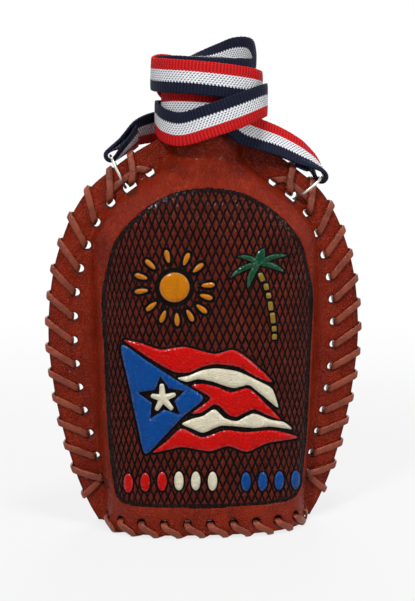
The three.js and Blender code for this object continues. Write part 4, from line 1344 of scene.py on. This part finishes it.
def smooth_hide():
    finish, mottle, *rest = hide_finish("smooth_hide")
    finish.bump(mottle["Patches"], 0.25)
    return settle_hide(finish, *rest)


def tooled_hide():
    """The same leather with the pressed mesh stained dark and the picture painted on."""
    finish, mottle, dust, edge, colour, roughness, gloss = hide_finish("tooled_hide")
    shape_gap, groove_gap, arch_gap, rising, falling = (
        attribute(finish.tree, name)
        for name in ("shape_gap", "groove_gap", "arch_gap", "mesh_rising", "mesh_falling"))
    covered = spread(shape_gap, -0.1, 0.1, 1.0, 0.0)
    black = spread(groove_gap, -0.12, 0.12, 1.0, 0.0) * (1 - covered)
    field = spread(arch_gap, -0.15, 0.15, 1.0, 0.0)
    border = spread(calc("ABSOLUTE", arch_gap), 0.15, 0.36, 1.0, 0.0)
    rising, falling = calc("PINGPONG", rising, 0.5), calc("PINGPONG", falling, 0.5)
    lines = spread(calc("MINIMUM", rising, falling), 0.09, 0.19, 1.0, 0.0)
    crossings = spread(rising + falling, 0.25, 0.42, 1.0, 0.0)
    open_field = field * (1 - calc("MAXIMUM", covered, black))
    mesh = calc("MAXIMUM", lines, crossings) * open_field
    antique = blend_colours(mottle["Patches"], tint(76, 17, 6), tint(96, 27, 11))
    paint = attribute(finish.tree, "paint", "Color")
    paint = blend_colours(mottle["Streaks"] * 0.12, paint, tint(60, 30, 20))
    paint = blend_colours(mottle["Scuffs"] * 0.22, paint, tint(70, 34, 22))
    for share, layer in ((field, antique), (mesh * 0.97, tint(7, 2, 2)), (border * 0.95, tint(12, 5, 4)),
                         (black, tint(6, 3, 3)), (covered, paint)):
        colour = blend_colours(share, colour, layer)
    roughness = blend_numbers(covered, blend_numbers(field, roughness, 0.2), 0.13)
    rim_gloss = spread(shape_gap, -1.1, -0.4, 0.03, 0.9)
    glints = spread(noise(millimetres(finish.tree), 1.1, 3.0, 0.5), 0.44, 0.56)
    gloss = blend_numbers(calc("MAXIMUM", black, mesh), gloss, 0.03)
    gloss = blend_numbers(covered, gloss, rim_gloss * glints)
    finish.bump(mottle["Patches"], 0.25)
    finish.bump(1 - mesh, 0.35)
    return settle_hide(finish, dust, edge, colour, roughness, gloss)


def thong_hide():
    """Split leather thong: glossy on its faces, with cracks across it where it bends."""
    finish = Finish("thong_hide")
    grain = finish.group("hide_grain", Grain_size=0.5, Crease_depth=0.4)
    mottle = finish.group("rubbed_mottle", Patch_size=5.0, Streak_length=12.0)
    crack = spread(noise(combine(attribute(finish.tree, "run")), 1.5, 4.0, 0.7), 0.56, 0.64)
    colour = blend_colours(mottle["Patches"], tint(104, 40, 20), tint(130, 56, 32))
    colour = blend_colours(crack * 0.5, colour, tint(88, 34, 20))
    colour = blend_colours(mottle["Scuffs"] * 0.5, colour, tint(176, 108, 82))
    finish.set(Base_Color=colour, Roughness=spread(mottle["Patches"], 0.0, 1.0, 0.22, 0.34),
               Specular_IOR_Level=0.3)
    finish.bump(crack, 0.08)
    finish.bump(grain["Height"], 0.05)
    return finish.material


def striped_webbing():
    """Woven tape in three stripes: ribs across the outer two, a twill with dark specks in the white one."""
    finish = Finish("striped_webbing")
    across, run = attribute(finish.tree, "strap_across"), attribute(finish.tree, "strap_run")
    width = across * (strap_width / 2)
    ragged = across + calc("SINE", run * (2 * math.pi / rib_pitch)) * 0.022
    in_red, in_navy = spread(ragged, 0.32, 0.37), spread(ragged, -0.36, -0.31, 1.0, 0.0)
    middle = 1 - calc("MAXIMUM", in_red, in_navy)
    rib, yarn = waves(run, rib_pitch), waves(width, yarn_pitch)
    twill = waves(width * (0.5 / yarn_pitch) + run * (1 / rib_pitch), 1)
    height = blend_numbers(middle, rib * 0.75 + yarn * 0.25, twill * 0.6 + yarn * 0.4)
    fibre = noise(combine(run * 0.6, width * 3.0), 2.2, 5.0, 0.7)
    navy = blend_colours(fibre, tint(4, 7, 24), tint(17, 23, 50))
    red = blend_colours(fibre, tint(168, 8, 14), tint(212, 26, 28))
    white = blend_colours(fibre, tint(198, 200, 206), tint(236, 237, 240))
    specks = spread(twill, 0.34, 0.08) * spread(yarn, 0.75, 0.35)
    white = blend_colours(specks * 0.85, white, tint(40, 46, 76))
    colour = blend_colours(in_red, blend_colours(in_navy, white, navy), red)
    # Painted shade: the colour is darkened, down to 0.42 of itself, in the weave's hollows, following the
    # bump's height
    shade = spread(height, 0.0, 0.6, 0.42, 1.0)
    colour = blend_colours(1.0, colour, combine(shade, shade, shade), "MULTIPLY")
    dust = finish.group("handling_dust", Amount=0.3)
    colour = blend_colours(dust["Dust"] * 0.5, colour, tint(190, 186, 180))
    finish.set(Base_Color=colour, Roughness=spread(height, 0.0, 1.0, 0.88, 0.66), Specular_IOR_Level=0.15)
    finish.bump(height, 0.22)
    finish.bump(fibre, 0.06)
    return finish.material


def waxed_thread():
    finish = Finish("waxed_thread")
    wave = place_node(finish.tree, "TexWave", wave_type="BANDS", bands_direction="DIAGONAL")
    feed_named(wave, {"Vector": millimetres(finish.tree), "Scale": 1.6})
    twist = Value(finish.tree, wave.outputs["Fac"])
    finish.set(Base_Color=blend_colours(twist, tint(20, 24, 44), tint(48, 56, 88)),
               Roughness=spread(twist, 0.0, 1.0, 0.5, 0.7))
    finish.bump(twist, 0.05)
    return finish.material


def plated_wire():
    finish = Finish("plated_wire")
    drawn = noise(millimetres(finish.tree, (3, 3, 0.4)), 3.0, 4.0, 0.6)
    dust = finish.group("handling_dust", Amount=0.4)
    colour = blend_colours(drawn, tint(176, 172, 162), tint(214, 210, 202))
    finish.set(Base_Color=blend_colours(dust["Dust"], colour, tint(120, 92, 60)), Metallic=1.0,
               Roughness=spread(drawn, 0.3, 0.7, 0.16, 0.3) + dust["Roughening"] * 0.5)
    finish.bump(drawn, 0.02)
    return finish.material


def clear_glass():
    finish = Finish("clear_glass")
    dust = finish.group("handling_dust", Amount=0.25)
    finish.set(Base_Color=blend_colours(dust["Dust"], tint(226, 238, 232), tint(196, 202, 196)),
               Transmission_Weight=0.92, IOR=1.5, Roughness=dust["Roughening"] * 0.3 + 0.04)
    finish.bump(noise(millimetres(finish.tree), 0.08, 3.0, 0.5), 0.2)
    return finish.material


def moulded_plastic():
    finish = Finish("moulded_plastic")
    mottle = finish.group("rubbed_mottle", Patch_size=6.0, Streak_length=10.0)
    dust = finish.group("handling_dust", Amount=0.35)
    colour = blend_colours(mottle["Patches"], tint(24, 24, 27), tint(34, 34, 38))
    colour = blend_colours(mottle["Scuffs"] * 0.5, colour, tint(84, 84, 88))
    finish.set(Base_Color=blend_colours(dust["Dust"], colour, tint(120, 116, 110)),
               Roughness=dust["Roughening"] * 0.5 + 0.32)
    finish.bump(noise(millimetres(finish.tree), 6.0, 3.0, 0.6), 0.03)
    return finish.material


def foam():
    finish = Finish("foam_disc")
    bubbles = cells(millimetres(finish.tree), 3.0)
    finish.set(Base_Color=blend_colours(bubbles, tint(236, 232, 222), tint(212, 206, 192)),
               Roughness=spread(bubbles, 0.0, 0.8, 0.7, 0.9))
    finish.bump(bubbles, 0.08)
    return finish.material


# ---------------------------------------------------------------- assembly


def dress(piece, material, replaced=None):
    """Gives a piece its one material, and hides the CAD node that it stands in for, if one is given."""
    piece.data.materials.clear()
    piece.data.materials.append(material)
    if replaced:
        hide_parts(replaced)
    return piece


def assemble():
    set_camera()
    build_groups()
    lay_floor()
    light_studio()
    hide, thongs, wire = smooth_hide(), thong_hide(), plated_wire()
    dress(cover("tooled_front", -1, True), tooled_hide(), "front_cover")
    dress(cover("plain_back", 1, False), hide, "back_cover")
    dress(base_cover(), hide, "base_cover")
    for side in sides:
        laced = laced_thong(side + "_edge_thong", side_thong_stations(side))
        dress(laced, thongs, side + "_side_lace")
    for word, facing in (("front", -1), ("back", 1)):
        laced = laced_thong(word + "_foot_thong", base_thong_stations(facing))
        dress(laced, thongs, word + "_base_lace")
    for side in sides:
        dress(jump_ring(side), wire, side + "_ring")
    strap, length, area = wound_strap()
    dress(strap, striped_webbing(), "strap")
    stitches = dress(strap_stitches(), waxed_thread())
    dress(glass_flask(), clear_glass(), "glass_bottle")
    dress(knurled_cap(), moulded_plastic(), "screw_cap")
    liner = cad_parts["cap_liner"]
    liner.data.materials.clear()
    liner.data.materials.append(foam())


assemble()
bpy.context.view_layer.update()
